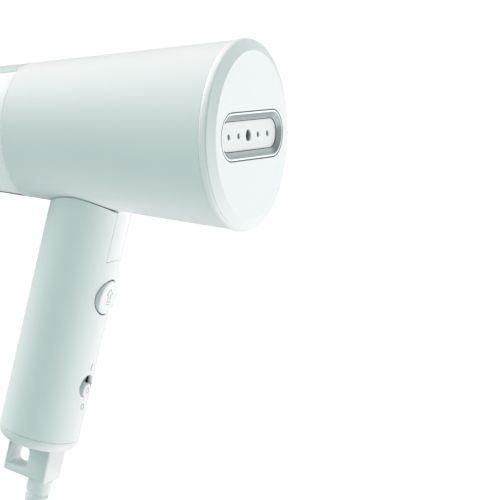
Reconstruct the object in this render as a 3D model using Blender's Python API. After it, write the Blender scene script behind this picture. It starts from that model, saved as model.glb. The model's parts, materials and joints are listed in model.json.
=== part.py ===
"""Handheld garment steamer: tapered head with a steam outlet, rear water tank, folding handle and mains cord.

Every size below is in millimetres. place() turns a finished shape into metres. Two frames are used:
- the handle frame, whose origin is the middle of the grip: X sideways, Y to the rear, Z up along the handle
- the head frame, whose origin is on the barrel's axis at the front rim: X sideways, Y to the rear, Z up
The world is the handle frame's origin with Z upright, so the handle leans in it and the head is level.
"""
import bmesh
import bpy
from math import atan2, ceil, cos, pi, radians, sin, sqrt
from mathutils import Matrix, Vector

MM = 0.001
GAP = 0.3

# Barrel
FRONT_RADIUS = 46.0
BARREL_LENGTH = 116.1
BARREL_REAR_RADIUS = 33.4
BARREL_WALL = 2.5
BARREL_STEPS = 48
RING_WIDTH = 3.5
FACE_RADIUS = 40.5
FACE_FORWARD = 3.0
FACE_Y = -FACE_FORWARD

# Steam outlet
OUTLET_HALF_WIDTH = 34.7
OUTLET_HALF_HEIGHT = 11.5
BEZEL_FRONT = 0.05
BEZEL_RIM = 0.6
BEZEL_INSET = 0.9
PLATE_HALF_WIDTH = 31.5
PLATE_HALF_HEIGHT = 7.4
PLATE_DEPTH = 2.2
STEAM_HOLE_PITCH = 10.9
STEAM_HOLE_RADIUS = 1.4
MIDDLE_HOLE_RADIUS = 2.8

# Boiler, along the barrel from the front rim
BOILER_FRONT = 3.9
BOILER_BACK = 28.0
BOILER_HALF_WIDTH = 32.0
BOILER_HALF_HEIGHT = 13.0

# Handle
LEAN = radians(14.9)
HANDLE_RADIUS = 20.2
HANDLE_WALL = 2.2
HANDLE_INNER = HANDLE_RADIUS - HANDLE_WALL
GRIP_DROP = 105.0
HANDLE_FROM_FRONT = 74.85
SLEEVE_END = 155.6
CAP_END = 162.0
HANDLE_STEPS = 40
LOOP_END = 179.0
LOOP_HOLE_Y = 4.8
LOOP_HOLE_DOWN = 170.1
CLAMP_Z = -48.0
CLAMP_SCREW_X = 5.6
SADDLE_GAP = 0.6
FOLD_RELIEF_ANGLES = (6, 12, 18, 24)

# Fold hinge, in handle terms: forward of the handle's axis, and down from the barrel's axis
HINGE_FORWARD = 14.75
HINGE_DOWN = 54.0
KNUCKLE_RADIUS = 7.85
TONGUE_HALF_WIDTH = 7.3
TONGUE_REAR = 7.4
SLOT_CLEARANCE = 0.4
PIN_RADIUS = 1.5
PIN_HALF_LENGTH = 9.2

# Controls, down from the barrel's axis
TRIGGER_DOWN = 79.3
TRIGGER_HOLE_RADIUS = 9.3
TRIGGER_RADIUS = 8.6
SLIDER_DOWN = 125.7
SLIDER_HOLE_RADIUS = 6.0
KNOB_RADIUS = 3.6
KNOB_CLEARANCE = 0.25

# Tank
TANK_START = 116.6
TANK_NECK_RADIUS = 30.2
TANK_NECK_START = 104.6
TANK_LENGTH_END = 168.0
TANK_END_FILLET = 8.0
LATCH_START = 118.4
LATCH_END = 146.0
TOP_LATCH_HALF = 27.0
BOTTOM_LATCH_HALF = 18.0
FILLER_Z = 6.0

# Cord
CORD_RADIUS = 3.3
CORD_FORWARD = 6.8
RELIEF_END = 216.0
HANK_INNER_TURN = 20.0
HANK_RUN_TOP = -156.0
HANK_RUN_BOTTOM = -256.0
HANK_Y = 0.4
HANK_LAYERS = 3
PLUG_X = 29.3
PLUG_TOP = -212.0

BARREL_SLOPE = (FRONT_RADIUS - BARREL_REAR_RADIUS) / BARREL_LENGTH
HANDLE_FRAME = Matrix.Rotation(LEAN, 4, "X")
HEAD_POINT = HANDLE_FRAME @ Vector((0.0, 0.0, GRIP_DROP)) - Vector((0.0, HANDLE_FROM_FRONT, 0.0))
HEAD_FRAME = Matrix.Translation(HEAD_POINT * MM)
CORD_FRAME = Matrix.Identity(4)


def clear_scene():
    for old in list(bpy.data.objects):
        bpy.data.objects.remove(old, do_unlink=True)


def make_material(name, color, roughness, metallic=0.0, transmission=0.0):
    material = bpy.data.materials.new(name)
    material.use_nodes = True
    shader = material.node_tree.nodes["Principled BSDF"]
    shader.inputs["Base Color"].default_value = (*color, 1.0)
    shader.inputs["Roughness"].default_value = roughness
    shader.inputs["Metallic"].default_value = metallic
    shader.inputs["Transmission Weight"].default_value = transmission
    return material


# ---------------------------------------------------------------- frames

def handle_point(x, forward, down):
    """A point in the handle frame, from its distance forward of the axis and down from the barrel's axis."""
    return Vector((x, -forward, GRIP_DROP - down))


def down_z(down):
    return GRIP_DROP - down


def barrel_radius(y):
    return FRONT_RADIUS - BARREL_SLOPE * y


def group(name, frame, at, parent=None):
    """An empty at a joint's axis, which its pieces hang from."""
    empty = bpy.data.objects.new(name, None)
    bpy.context.collection.objects.link(empty)
    empty.empty_display_size = 0.01
    attach(empty, Matrix.Translation(frame @ (Vector(at) * MM)), parent)
    return empty


# ---------------------------------------------------------------- mesh helpers

def place(name, bm, material, frame, parent=None, smooth=35.0):
    """Make a millimetre shape into an object, in metres, in one of the frames."""
    bmesh.ops.scale(bm, vec=(MM, MM, MM), verts=bm.verts)
    bmesh.ops.recalc_face_normals(bm, faces=bm.faces)
    mesh = bpy.data.meshes.new(name)
    bm.to_mesh(mesh)
    bm.free()
    mesh.shade_smooth()
    mesh.set_sharp_from_angle(angle=radians(smooth))
    obj = bpy.data.objects.new(name, mesh)
    bpy.context.collection.objects.link(obj)
    mesh.materials.append(material)
    attach(obj, frame, parent)
    return obj


def attach(obj, frame, parent):
    obj.matrix_basis = frame
    if parent is not None:
        bpy.context.view_layer.update()
        obj.parent = parent
        obj.matrix_parent_inverse = parent.matrix_world.inverted()


def as_cutter(obj):
    obj.hide_render = True
    obj.display_type = "WIRE"
    return obj


def boolean(obj, other, operation="DIFFERENCE"):
    as_cutter(other)
    modifier = obj.modifiers.new(operation.lower() + "_" + other.name, "BOOLEAN")
    modifier.operation = operation
    modifier.solver = "EXACT"
    modifier.object = other


def turned(outline, steps, axis="Z", closed=False):
    """Spin an outline of (radius, along) points about an axis. A closed outline makes a ring."""
    bm = bmesh.new()
    flip = Matrix.Rotation(-pi / 2, 4, "X") if axis == "Y" else Matrix.Identity(4)
    if axis == "X":
        flip = Matrix.Rotation(pi / 2, 4, "Y")
    points = [bm.verts.new(flip @ Vector((radius, 0.0, along))) for radius, along in outline]
    edges = [bm.edges.new(pair) for pair in zip(points, points[1:])]
    if closed:
        edges.append(bm.edges.new((points[-1], points[0])))
    spin_axis = flip @ Vector((0.0, 0.0, 1.0))
    bmesh.ops.spin(bm, geom=points + edges, axis=spin_axis, cent=(0, 0, 0), angle=2 * pi, steps=steps,
                   use_merge=True)
    bmesh.ops.remove_doubles(bm, verts=bm.verts, dist=1e-4)
    return bm


def shift(bm, offset):
    bmesh.ops.translate(bm, vec=Vector(offset), verts=bm.verts)
    return bm


def prism(outline, low, high, axis="X"):
    """Extrude a flat outline along an axis. For X the outline is (y, z), for Y (x, z), for Z (x, y)."""
    bm = bmesh.new()
    order = {"X": lambda a, b: (low, a, b), "Y": lambda a, b: (a, low, b), "Z": lambda a, b: (a, b, low)}
    face = bm.faces.new([bm.verts.new(order[axis](a, b)) for a, b in outline])
    push = {"X": (high - low, 0, 0), "Y": (0, high - low, 0), "Z": (0, 0, high - low)}[axis]
    grown = bmesh.ops.extrude_face_region(bm, geom=[face])
    moved = [item for item in grown["geom"] if isinstance(item, bmesh.types.BMVert)]
    bmesh.ops.translate(bm, vec=Vector(push), verts=moved)
    return bm


def block(low, high):
    (x0, y0, z0), (x1, y1, z1) = low, high
    return prism([(x0, y0), (x1, y0), (x1, y1), (x0, y1)], z0, z1, "Z")


def arc(center, radius, start, end, steps):
    """Points on an arc, from one angle to another, in degrees."""
    angles = [radians(start + (end - start) * step / steps) for step in range(steps + 1)]
    return [(center[0] + radius * cos(angle), center[1] + radius * sin(angle)) for angle in angles]


def rounded_box(half_width, half_height, radius, steps=4):
    """Outline of a rectangle with round corners. A radius equal to a half size makes a stadium."""
    corners = [(1, 1, 0), (-1, 1, 90), (-1, -1, 180), (1, -1, 270)]
    points = []
    for side, up, start in corners:
        center = (side * (half_width - radius), up * (half_height - radius))
        points += arc(center, radius, start, start + 90, steps)
    kept = []
    for point in points:
        if not kept or (Vector(point) - Vector(kept[-1])).length > 1e-6:
            kept.append(point)
    if (Vector(kept[0]) - Vector(kept[-1])).length < 1e-6:
        kept.pop()
    return kept


def lofted(sections, closed_ring=False):
    """Join outlines of equal point counts. Each section is (outline of (x, z), y)."""
    bm = bmesh.new()
    rings = [[bm.verts.new((x, y, z)) for x, z in outline] for outline, y in sections]
    pairs = list(zip(rings, rings[1:]))
    if closed_ring:
        pairs.append((rings[-1], rings[0]))
    for first, second in pairs:
        count = len(first)
        for index in range(count):
            after = (index + 1) % count
            bm.faces.new((first[index], first[after], second[after], second[index]))
    if not closed_ring:
        bm.faces.new(rings[0])
        bm.faces.new(rings[-1])
    return bm


def smooth_route(points, spacing):
    """Even points on a smooth curve through the given ones."""
    knots = [Vector(point) for point in points]
    knots = [2 * knots[0] - knots[1]] + knots + [2 * knots[-1] - knots[-2]]
    fine = []
    for before, start, end, after in zip(knots, knots[1:], knots[2:], knots[3:]):
        for step in range(12):
            t = step / 12
            fine.append(0.5 * (2 * start + (end - before) * t
                        + (2 * before - 5 * start + 4 * end - after) * t ** 2
                        + (3 * start - before - 3 * end + after) * t ** 3))
    fine.append(knots[-2])
    lengths = [0.0]
    for first, second in zip(fine, fine[1:]):
        lengths.append(lengths[-1] + (second - first).length)
    count = max(2, ceil(lengths[-1] / spacing))
    even = []
    for step in range(count + 1):
        goal = lengths[-1] * step / count
        index = max(i for i, length in enumerate(lengths) if length <= goal + 1e-9)
        index = min(index, len(fine) - 2)
        share = (goal - lengths[index]) / (lengths[index + 1] - lengths[index])
        even.append(fine[index].lerp(fine[index + 1], share))
    return even


def tube(name, route, radius, material, frame, parent=None, sides=2, spacing=None):
    """A solid round cord along a smooth route."""
    curve = bpy.data.curves.new(name, "CURVE")
    curve.dimensions = "3D"
    curve.bevel_depth = radius * MM
    curve.bevel_resolution = sides
    curve.use_fill_caps = True
    points = smooth_route(route, spacing or radius * 5)
    spline = curve.splines.new("POLY")
    spline.points.add(len(points) - 1)
    for target, point in zip(spline.points, points):
        target.co = (*(point * MM), 1.0)
    obj = bpy.data.objects.new(name, curve)
    bpy.context.collection.objects.link(obj)
    curve.materials.append(material)
    attach(obj, frame, parent)
    return obj


def cutter_cylinder(name, radius, low, high, axis, center, frame, steps=32):
    bm = turned([(0.0, low), (radius, low), (radius, high), (0.0, high)], steps, axis)
    return as_cutter(place(name, shift(bm, center), GUIDE, frame))


def screw(name, center, frame, parent, length=8.0, head=2.6, axis="Y", flip=1):
    """A pan-head screw. Its head's underside is at the centre and its shank runs along the axis."""
    profile = [(0.0, length), (1.1, length), (1.1, 0.0), (head, 0.0), (head, -0.9), (head * 0.7, -1.7), (0.0, -1.7)]
    bm = turned([(radius, along * flip) for radius, along in profile], 12, axis)
    return place(name, shift(bm, center), STEEL, frame, parent)


# ---------------------------------------------------------------- head

def barrel_solid(name, extra, start, end):
    outline = [(0.0, start), (barrel_radius(start) + extra, start), (barrel_radius(end) + extra, end), (0.0, end)]
    return as_cutter(place(name, turned(outline, BARREL_STEPS, "Y"), GUIDE, HEAD_FRAME))


def side_profile(rear, radius, top):
    """Side view of the tongue, or of the slot it sits in: a round knuckle with a neck going up, as (y, z)."""
    center = (-HINGE_FORWARD, down_z(HINGE_DOWN))
    neck = HINGE_FORWARD - rear
    angle = atan2(sqrt(radius ** 2 - neck ** 2), neck) * 180 / pi
    points = arc(center, radius, angle, -180, 14)
    front = center[0] - radius
    return [(-rear, down_z(top))] + points + [(front, down_z(top))]


def make_head_shell(parent):
    start = RING_WIDTH + GAP
    wall = BARREL_WALL
    shell = place("head_shell", turned([(0.0, start), (barrel_radius(start), start),
                                        (barrel_radius(BARREL_LENGTH), BARREL_LENGTH), (0.0, BARREL_LENGTH)],
                                       BARREL_STEPS, "Y"), WHITE, HEAD_FRAME, parent, smooth=30)
    tongue = as_cutter(place("tongue_shape", prism(side_profile(TONGUE_REAR, KNUCKLE_RADIUS, 26.0),
                                                   -TONGUE_HALF_WIDTH, TONGUE_HALF_WIDTH), GUIDE, HANDLE_FRAME))
    boolean(tongue, cutter_cylinder("tongue_front", HANDLE_RADIUS - 0.02, down_z(80.0), down_z(20.0), "Z",
                                    (0, 0, 0), HANDLE_FRAME, HANDLE_STEPS), "INTERSECT")
    boolean(shell, tongue, "UNION")
    lip = 1.6
    cavity = turned([(0.0, start - 1), (barrel_radius(start - 1) - wall, start - 1),
                     (barrel_radius(BARREL_LENGTH) - wall, BARREL_LENGTH - lip),
                     (TANK_NECK_RADIUS + GAP, BARREL_LENGTH - lip), (TANK_NECK_RADIUS + GAP, BARREL_LENGTH + 1),
                     (0.0, BARREL_LENGTH + 1)], BARREL_STEPS, "Y")
    boolean(shell, as_cutter(place("barrel_cavity", cavity, GUIDE, HEAD_FRAME)))
    boolean(shell, cutter_cylinder("wire_hole", 4.5, down_z(44.0), down_z(24.0), "Z", (0, 6.0, 0),
                                   HANDLE_FRAME, 20))
    boolean(shell, cutter_cylinder("tongue_bore", 2.7, -10.0, 10.0, "X",
                                   handle_point(0, HINGE_FORWARD, HINGE_DOWN), HANDLE_FRAME, 20))
    return shell


def make_front(parent):
    inner = FRONT_RADIUS - 3.5
    ring = [(inner, 0.0), (FRONT_RADIUS - 0.4, 0.0), (FRONT_RADIUS + 0.1, 0.6), (FRONT_RADIUS + 0.25, 1.75),
            (FRONT_RADIUS + 0.1, 2.9), (FRONT_RADIUS - 0.4, RING_WIDTH), (inner, RING_WIDTH)]
    place("trim_ring", turned(ring, BARREL_STEPS, "Y", closed=True), CHROME, HEAD_FRAME, parent)
    skirt = inner - 0.4
    cover = place("front_cover", turned([(0.0, FACE_Y + 2.4), (skirt - 2.4, FACE_Y + 2.4), (skirt - 2.4, 9.0),
                                         (skirt, 9.0), (skirt, -GAP), (FRONT_RADIUS - 0.2, -GAP),
                                         (FRONT_RADIUS - 0.2, -0.6), (FACE_RADIUS + 0.3, FACE_Y + 0.1),
                                         (FACE_RADIUS, FACE_Y), (0.0, FACE_Y)], BARREL_STEPS, "Y"),
                  WHITE, HEAD_FRAME, parent, smooth=20)
    opening = outlet_outline(BEZEL_INSET - GAP)
    boolean(cover, as_cutter(place("outlet_opening", prism(opening, -8.0, 4.0, "Y"), GUIDE, HEAD_FRAME)))
    seat = prism(outlet_outline(-GAP), -8.0, FACE_Y + BEZEL_RIM + GAP, "Y")
    boolean(cover, as_cutter(place("bezel_seat", seat, GUIDE, HEAD_FRAME)))


def stadium(half_width, half_height, steps=8):
    return rounded_box(half_width, half_height, half_height, steps)


def outlet_outline(inset):
    return stadium(OUTLET_HALF_WIDTH - inset, OUTLET_HALF_HEIGHT - inset)


def make_outlet(parent):
    plate_y = FACE_Y + PLATE_DEPTH
    front = FACE_Y + BEZEL_FRONT
    bezel = lofted([(outlet_outline(0.0), FACE_Y + BEZEL_RIM), (outlet_outline(0.0), front + 0.2),
                    (outlet_outline(0.2), front), (outlet_outline(1.2), front),
                    (stadium(PLATE_HALF_WIDTH, PLATE_HALF_HEIGHT), plate_y - GAP),
                    (outlet_outline(BEZEL_INSET), plate_y - GAP),
                    (outlet_outline(BEZEL_INSET), FACE_Y + BEZEL_RIM)], closed_ring=True)
    place("steam_bezel", bezel, CHROME, HEAD_FRAME, parent, smooth=25)
    plate = place("steam_plate", prism(outlet_outline(BEZEL_INSET), plate_y, plate_y + 1.8, "Y"),
                  CHROME, HEAD_FRAME, parent)
    for place_index in range(-2, 3):
        radius = MIDDLE_HOLE_RADIUS if place_index == 0 else STEAM_HOLE_RADIUS
        boolean(plate, cutter_cylinder(f"steam_hole_{place_index + 3}", radius, plate_y - 1, plate_y + 3, "Y",
                                       (place_index * STEAM_HOLE_PITCH, 0, 0), HEAD_FRAME, 16))
    back = plate_y + 1.8 + GAP
    gasket = lofted([(stadium(31.0, 9.0, 4), back), (stadium(31.0, 9.0, 4), back + 2.0),
                     (stadium(28.0, 6.0, 4), back + 2.0), (stadium(28.0, 6.0, 4), back)], closed_ring=True)
    place("plate_gasket", gasket, SILICONE, HEAD_FRAME, parent)


def make_boiler(parent):
    outline = rounded_box(BOILER_HALF_WIDTH, BOILER_HALF_HEIGHT, 6.0, 3)
    boiler = place("boiler", prism(outline, BOILER_FRONT, BOILER_BACK, "Y"), ALUMINIUM, HEAD_FRAME, parent)
    boolean(boiler, as_cutter(place("boiler_cavity", prism(rounded_box(26.0, 8.0, 4.0, 2), BOILER_FRONT + 3,
                                                           BOILER_BACK + 1, "Y"), GUIDE, HEAD_FRAME)))
    for place_index in range(-2, 3):
        boolean(boiler, cutter_cylinder(f"steam_duct_{place_index + 3}", 1.6, BOILER_FRONT - 1, BOILER_FRONT + 4,
                                        "Y", (place_index * STEAM_HOLE_PITCH, 0, 0), HEAD_FRAME, 10))
    seal_y = BOILER_BACK + GAP
    seal = lofted([(rounded_box(28.6, 9.9, 4.0, 2), seal_y), (rounded_box(28.6, 9.9, 4.0, 2), seal_y + 1.0),
                   (rounded_box(26.2, 8.2, 3.0, 2), seal_y + 1.0), (rounded_box(26.2, 8.2, 3.0, 2), seal_y)],
                  closed_ring=True)
    place("boiler_seal", seal, SILICONE, HEAD_FRAME, parent)
    cover_y = seal_y + 1.0 + GAP
    cover = place("boiler_cover", prism(outline, cover_y, cover_y + 3.0, "Y"), ALUMINIUM, HEAD_FRAME, parent)
    inlet = turned([(0.0, cover_y + 2.0), (3.0, cover_y + 2.0), (3.0, cover_y + 8.0), (0.0, cover_y + 8.0)], 16, "Y")
    boolean(cover, as_cutter(place("boiler_inlet", inlet, GUIDE, HEAD_FRAME)), "UNION")
    corners = [(-1, -1), (1, -1), (-1, 1), (1, 1)]
    for index, (side, up) in enumerate(corners, 1):
        center = (side * (BOILER_HALF_WIDTH - 3.6), 0, up * (BOILER_HALF_HEIGHT - 3.6))
        for target in (cover, boiler):
            hole = cutter_cylinder(f"screw_hole_{target.name}_{index}", 1.5, BOILER_BACK - 8, cover_y + 5, "Y",
                                   center, HEAD_FRAME, 8)
            boolean(target, hole)
        screw(f"boiler_screw_{index}", (center[0], cover_y + 3.0 + GAP, center[2]), HEAD_FRAME, parent,
              length=9.0, flip=-1)
    top = BOILER_HALF_HEIGHT + GAP + 3.3
    route = [(-20, 36, top), (-20, 28, top), (-20, 16, top), (-16, 9.5, top), (-8, 8, top), (8, 8, top),
             (16, 9.5, top), (20, 16, top), (20, 28, top), (20, 36, top)]
    tube("heating_element", route, 3.2, STEEL, HEAD_FRAME, parent, sides=2, spacing=6)
    low = -BOILER_HALF_HEIGHT - GAP
    thermostat = turned([(0.0, low), (8.0, low), (8.0, low - 5.0), (6.0, low - 5.0), (6.0, low - 8.0),
                         (0.0, low - 8.0)], 20, "Z")
    place("thermostat", shift(thermostat, (0, 17, 0)), BLACK, HEAD_FRAME, parent)
    fuse = turned([(0.0, -6.0), (0.6, -6.0), (2.0, -5.0), (2.0, 5.0), (0.6, 6.0), (0.0, 6.0)], 12, "X")
    place("thermal_fuse", shift(fuse, (0, 20, BOILER_HALF_HEIGHT + GAP + 2.0)), CERAMIC, HEAD_FRAME, parent)


def make_head_inside(parent):
    shield_y = 44.0
    shield_radius = barrel_radius(shield_y + 1) - BARREL_WALL - 0.6
    shield = place("heat_shield", turned([(0.0, shield_y), (shield_radius, shield_y),
                                          (shield_radius, shield_y + 1.0), (0.0, shield_y + 1.0)], 40, "Y"),
                   STEEL, HEAD_FRAME, parent)
    boolean(shield, as_cutter(place("shield_notch", block((-14, 40, -45), (14, 50, -22)), GUIDE, HEAD_FRAME)))
    boolean(shield, cutter_cylinder("shield_hole", 4.2, 40, 50, "Y", (0, 0, 5.0), HEAD_FRAME, 16))
    pump_z = 9.0
    pump_body = place("pump_body", shift(turned([(0.0, 50.0), (2.0, 50.0), (2.0, 56.0), (6.0, 56.0), (6.0, 60.0),
                                                 (9.0, 60.0), (9.0, 76.0), (5.0, 76.0), (5.0, 81.0),
                                                 (0.0, 81.0)], 20, "Y"), (0, 0, pump_z)), BLACK, HEAD_FRAME, parent)
    boolean(pump_body, cutter_cylinder("pump_inlet", 2.0, -3.7, pump_z, "Z", (0, 78.5, 0), HEAD_FRAME, 12),
            "UNION")
    coil = turned([(9.3, 61.5), (13.0, 61.5), (13.0, 74.5), (9.3, 74.5)], 20, "Y", closed=True)
    place("pump_coil", shift(coil, (0, 0, pump_z)), COPPER, HEAD_FRAME, parent)
    tube("delivery_tube", [(0, 49.4, pump_z - 0.1), (0, 47.4, pump_z - 0.9), (0, 44.5, 5.0), (0, 42, 1.4),
                           (0, 40, 0.2), (0, 37.9, 0)], 1.8, SILICONE, HEAD_FRAME, parent, 2, 2.0)
    bulkhead_y = 96.0
    radius = barrel_radius(bulkhead_y + 2.4) - BARREL_WALL - GAP
    bulkhead = place("rear_bulkhead", turned([(0.0, bulkhead_y), (radius, bulkhead_y),
                                              (radius, bulkhead_y + 2.4), (0.0, bulkhead_y + 2.4)], 48, "Y"),
                     WHITE, HEAD_FRAME, parent)
    spigot_z = -12.0
    boolean(bulkhead, cutter_cylinder("spigot_hole", 4.3, 90, 105, "Y", (0, 0, spigot_z), HEAD_FRAME, 20))
    spigot = turned([(2.0, 90.0), (4.0, 90.0), (4.0, 95.0), (4.0, 98.8), (6.5, 98.8), (6.5, 100.0), (4.0, 100.0),
                     (4.0, 104.0), (3.4, 104.5), (3.4, 106.5), (4.0, 107.0), (4.0, 111.0), (3.2, 112.0),
                     (2.0, 112.0)], 14, "Y", closed=True)
    place("inlet_spigot", shift(spigot, (0, 0, spigot_z)), WHITE, HEAD_FRAME, parent)
    ring = turned(arc((4.6, 105.5), 0.8, 0, 300, 5), 14, "Y", closed=True)
    place("spigot_seal", shift(ring, (0, 0, spigot_z)), RUBBER, HEAD_FRAME, parent)
    tube("suction_tube", [(0, 78.5, -4.0), (0, 78.7, -7.2), (0, 81.0, -10.6), (0, 85.0, -12), (0, 89.7, -12)],
         1.8, SILICONE, HEAD_FRAME, parent, 2, 2.5)
    tube("head_wiring", [(0, 89.9, -33.2), (0, 88.6, -28.4), (0, 84, -24.0), (0, 76, -22.4), (0, 66, -22),
                         (0, 52, -25), (0, 42, -26.5), (0, 34, -25.5), (0, 27, -24.2)], 1.9, RED, HEAD_FRAME,
         parent, 2, 4.0)


def make_hinge_bush(parent):
    bush = turned([(PIN_RADIUS + 0.08, -7.0), (2.4, -7.0), (2.4, 7.0), (PIN_RADIUS + 0.08, 7.0)], 20, "X",
                  closed=True)
    place("hinge_bush", shift(bush, handle_point(0, HINGE_FORWARD, HINGE_DOWN)), BRASS, HANDLE_FRAME, parent)


# ---------------------------------------------------------------- tank

def tank_outline(inset):
    """Outline of the tank's outer wall, moved inwards, from its neck to the middle of its rear end."""
    end = TANK_LENGTH_END - inset
    fillet = TANK_END_FILLET - inset
    side_end = TANK_LENGTH_END - TANK_END_FILLET
    slope_angle = 90 - atan2(BARREL_SLOPE, 1.0) * 180 / pi
    edge = barrel_radius(side_end) - inset
    center = (edge - fillet, end - fillet)
    return arc(center, fillet, 90 - slope_angle, 90, 5)


def make_tank(parent):
    neck = TANK_NECK_RADIUS
    outline = [(0.0, TANK_NECK_START), (neck, TANK_NECK_START), (neck, TANK_START),
               (barrel_radius(TANK_START) - 0.3, TANK_START), (barrel_radius(TANK_START + 0.3), TANK_START + 0.3)]
    outline += tank_outline(0.0) + [(0.0, TANK_LENGTH_END)]
    tank = place("tank_shell", turned(outline, BARREL_STEPS, "Y"), CLEAR, HEAD_FRAME, parent, smooth=30)
    wall = 1.8
    inside = [(0.0, TANK_NECK_START - 1), (neck - wall, TANK_NECK_START - 1), (neck - wall, TANK_START + 1)]
    inside += tank_outline(wall) + [(0.0, TANK_LENGTH_END - wall)]
    cavity = as_cutter(place("tank_cavity", turned(inside, 24, "Y"), GUIDE, HEAD_FRAME))
    flat = 22.0
    boolean(cavity, as_cutter(place("tank_flats", block((-40, 90, -flat), (40, 180, flat)), GUIDE, HEAD_FRAME)),
            "INTERSECT")
    boolean(tank, cavity)
    for name, angle, half in (("latch_pocket_top", 90, TOP_LATCH_HALF),
                              ("latch_pocket_bottom", -90, BOTTOM_LATCH_HALF)):
        pocket = latch_patch(half + 1.1, LATCH_START - 0.4, LATCH_END + 0.4, 4.2, -3.0, angle)
        boolean(tank, as_cutter(place(name, pocket, GUIDE, HEAD_FRAME)))
    boolean(tank, cutter_cylinder("filler_hole", 6.0, 160, 172, "Y", (0, 0, FILLER_Z), HEAD_FRAME, 24))
    cap_y = 100.4
    cap = place("tank_front_cap", turned([(0.0, cap_y), (neck, cap_y), (neck, cap_y + 2.3),
                                          (24.0, cap_y + 2.3), (24.0, cap_y + 3.4), (0.0, cap_y + 3.4)], 32, "Y"),
                CLEAR, HEAD_FRAME, parent)
    boolean(cap, cutter_cylinder("outlet_hole", 7.2, 95, 110, "Y", (0, 0, -12.0), HEAD_FRAME, 24))
    gasket = turned([(24.4, cap_y + 2.6), (29.6, cap_y + 2.6), (29.6, cap_y + 3.9), (24.4, cap_y + 3.9)], 24, "Y",
                    closed=True)
    place("tank_gasket", gasket, SILICONE, HEAD_FRAME, parent)
    valve = turned([(0.0, 113.0), (5.6, 113.0), (5.6, 101.0), (6.9, 101.0), (6.9, 104.2), (8.6, 104.2),
                    (8.6, 106.0), (6.9, 106.0), (6.9, 114.0), (3.0, 118.0), (0.0, 118.0)], 14, "Y")
    place("tank_outlet_valve", shift(valve, (0, 0, -12.0)), SILICONE, HEAD_FRAME, parent)
    tube("pickup_tube", [(0, 118.4, -12.0), (0, 122, -13), (0, 132, -16), (0, 146, -17.5), (0, 156, -17.8)], 1.8,
         SILICONE, HEAD_FRAME, parent, 2, 5.0)


def latch_patch(half_angle, start, end, depth, proud, middle, steps=8):
    """A piece of the tapered wall: an angle to each side of the middle, between two places along the barrel."""
    bm = bmesh.new()
    angles = [radians(middle - half_angle + 2 * half_angle * step / steps) for step in range(steps + 1)]
    rings = []
    for y, below in ((start, False), (end, False), (end, True), (start, True)):
        radius = barrel_radius(y) - (depth if below else proud)
        rings.append([bm.verts.new((radius * cos(a), y, radius * sin(a))) for a in angles])
    for first, second in zip(rings, rings[1:] + rings[:1]):
        for index in range(steps):
            bm.faces.new((first[index], first[index + 1], second[index + 1], second[index]))
    bm.faces.new([ring[0] for ring in rings])
    bm.faces.new([ring[-1] for ring in reversed(rings)])
    return bm


def make_latches(top_group, bottom_group, tank_group):
    for name, middle, half, parent in (("latch_top", 90, TOP_LATCH_HALF, top_group),
                                       ("latch_bottom", -90, BOTTOM_LATCH_HALF, bottom_group)):
        up = 1 if middle > 0 else -1
        place(name, latch_patch(half, LATCH_START, LATCH_END, 2.0, 0.0, middle), GREY, HEAD_FRAME, parent)
        middle_y = (LATCH_START + LATCH_END) / 2
        floor = barrel_radius(middle_y) - 4.2
        rise = 1.7
        floor_slope = -BARREL_SLOPE
        leaf = []
        for along, height in ((-10, 0.45), (-9, 0.45), (-1, rise), (1, rise), (9, 0.45), (10, 0.45)):
            leaf.append((middle_y + along, floor + along * floor_slope + height))
        for along, height in ((10, 0.1), (9, 0.1), (1, rise - 0.35), (-1, rise - 0.35), (-9, 0.1), (-10, 0.1)):
            leaf.append((middle_y + along, floor + along * floor_slope + height))
        strip = prism([(y, up * z) for y, z in leaf], -4.0, 4.0, "X")
        place(name + "_spring", shift(strip, (0, 0, up * 0.05)), STEEL, HEAD_FRAME, tank_group)


def make_filler(parent):
    end = TANK_LENGTH_END
    plug = turned([(0.0, end - 4.5), (5.0, end - 4.5), (5.7, end - 3.0), (5.7, end + GAP), (8.5, end + GAP),
                   (8.5, end + 1.6), (7.5, end + 2.4), (2.6, end + 2.4), (2.2, end + 4.6), (0.0, end + 5.0)], 16, "Y")
    place("filler_stopper", shift(plug, (0, 0, FILLER_Z)), RUBBER, HEAD_FRAME, parent)


# ---------------------------------------------------------------- handle

def make_sleeve(parent):
    outer = HANDLE_RADIUS
    low = down_z(SLEEVE_END)
    sleeve = place("handle_sleeve", turned([(HANDLE_INNER, low), (outer - 0.3, low), (outer, low + 0.3),
                                            (outer, down_z(18.0)), (HANDLE_INNER, down_z(18.0))], HANDLE_STEPS, "Z",
                                           closed=True), WHITE, HANDLE_FRAME, parent, smooth=30)
    saddle = barrel_solid("saddle_shape", SADDLE_GAP, 20.0, 120.0)
    boolean(sleeve, saddle)
    cut_fold_relief(sleeve, 0.25)
    boolean(sleeve, tongue_slot("sleeve_slot"))
    boolean(sleeve, pin_hole("sleeve_pin_hole"))
    boolean(sleeve, cutter_cylinder("trigger_hole", TRIGGER_HOLE_RADIUS, -26.0, -8.0, "Y",
                                    (0, 0, down_z(TRIGGER_DOWN)), HANDLE_FRAME, 40))
    boolean(sleeve, cutter_cylinder("slider_hole", SLIDER_HOLE_RADIUS, -26.0, -8.0, "Y",
                                    (0, 0, down_z(SLIDER_DOWN)), HANDLE_FRAME, 32))


def tongue_slot(name):
    half = TONGUE_HALF_WIDTH + SLOT_CLEARANCE
    profile = side_profile(TONGUE_REAR - SLOT_CLEARANCE - 0.2, KNUCKLE_RADIUS + SLOT_CLEARANCE, 18.0)
    return as_cutter(place(name, prism(profile, -half, half), GUIDE, HANDLE_FRAME))


def pin_hole(name):
    reach = PIN_HALF_LENGTH + 0.4
    return cutter_cylinder(name, PIN_RADIUS + 0.3, -reach, reach, "X", handle_point(0, HINGE_FORWARD, HINGE_DOWN),
                           HANDLE_FRAME, 20)


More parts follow.
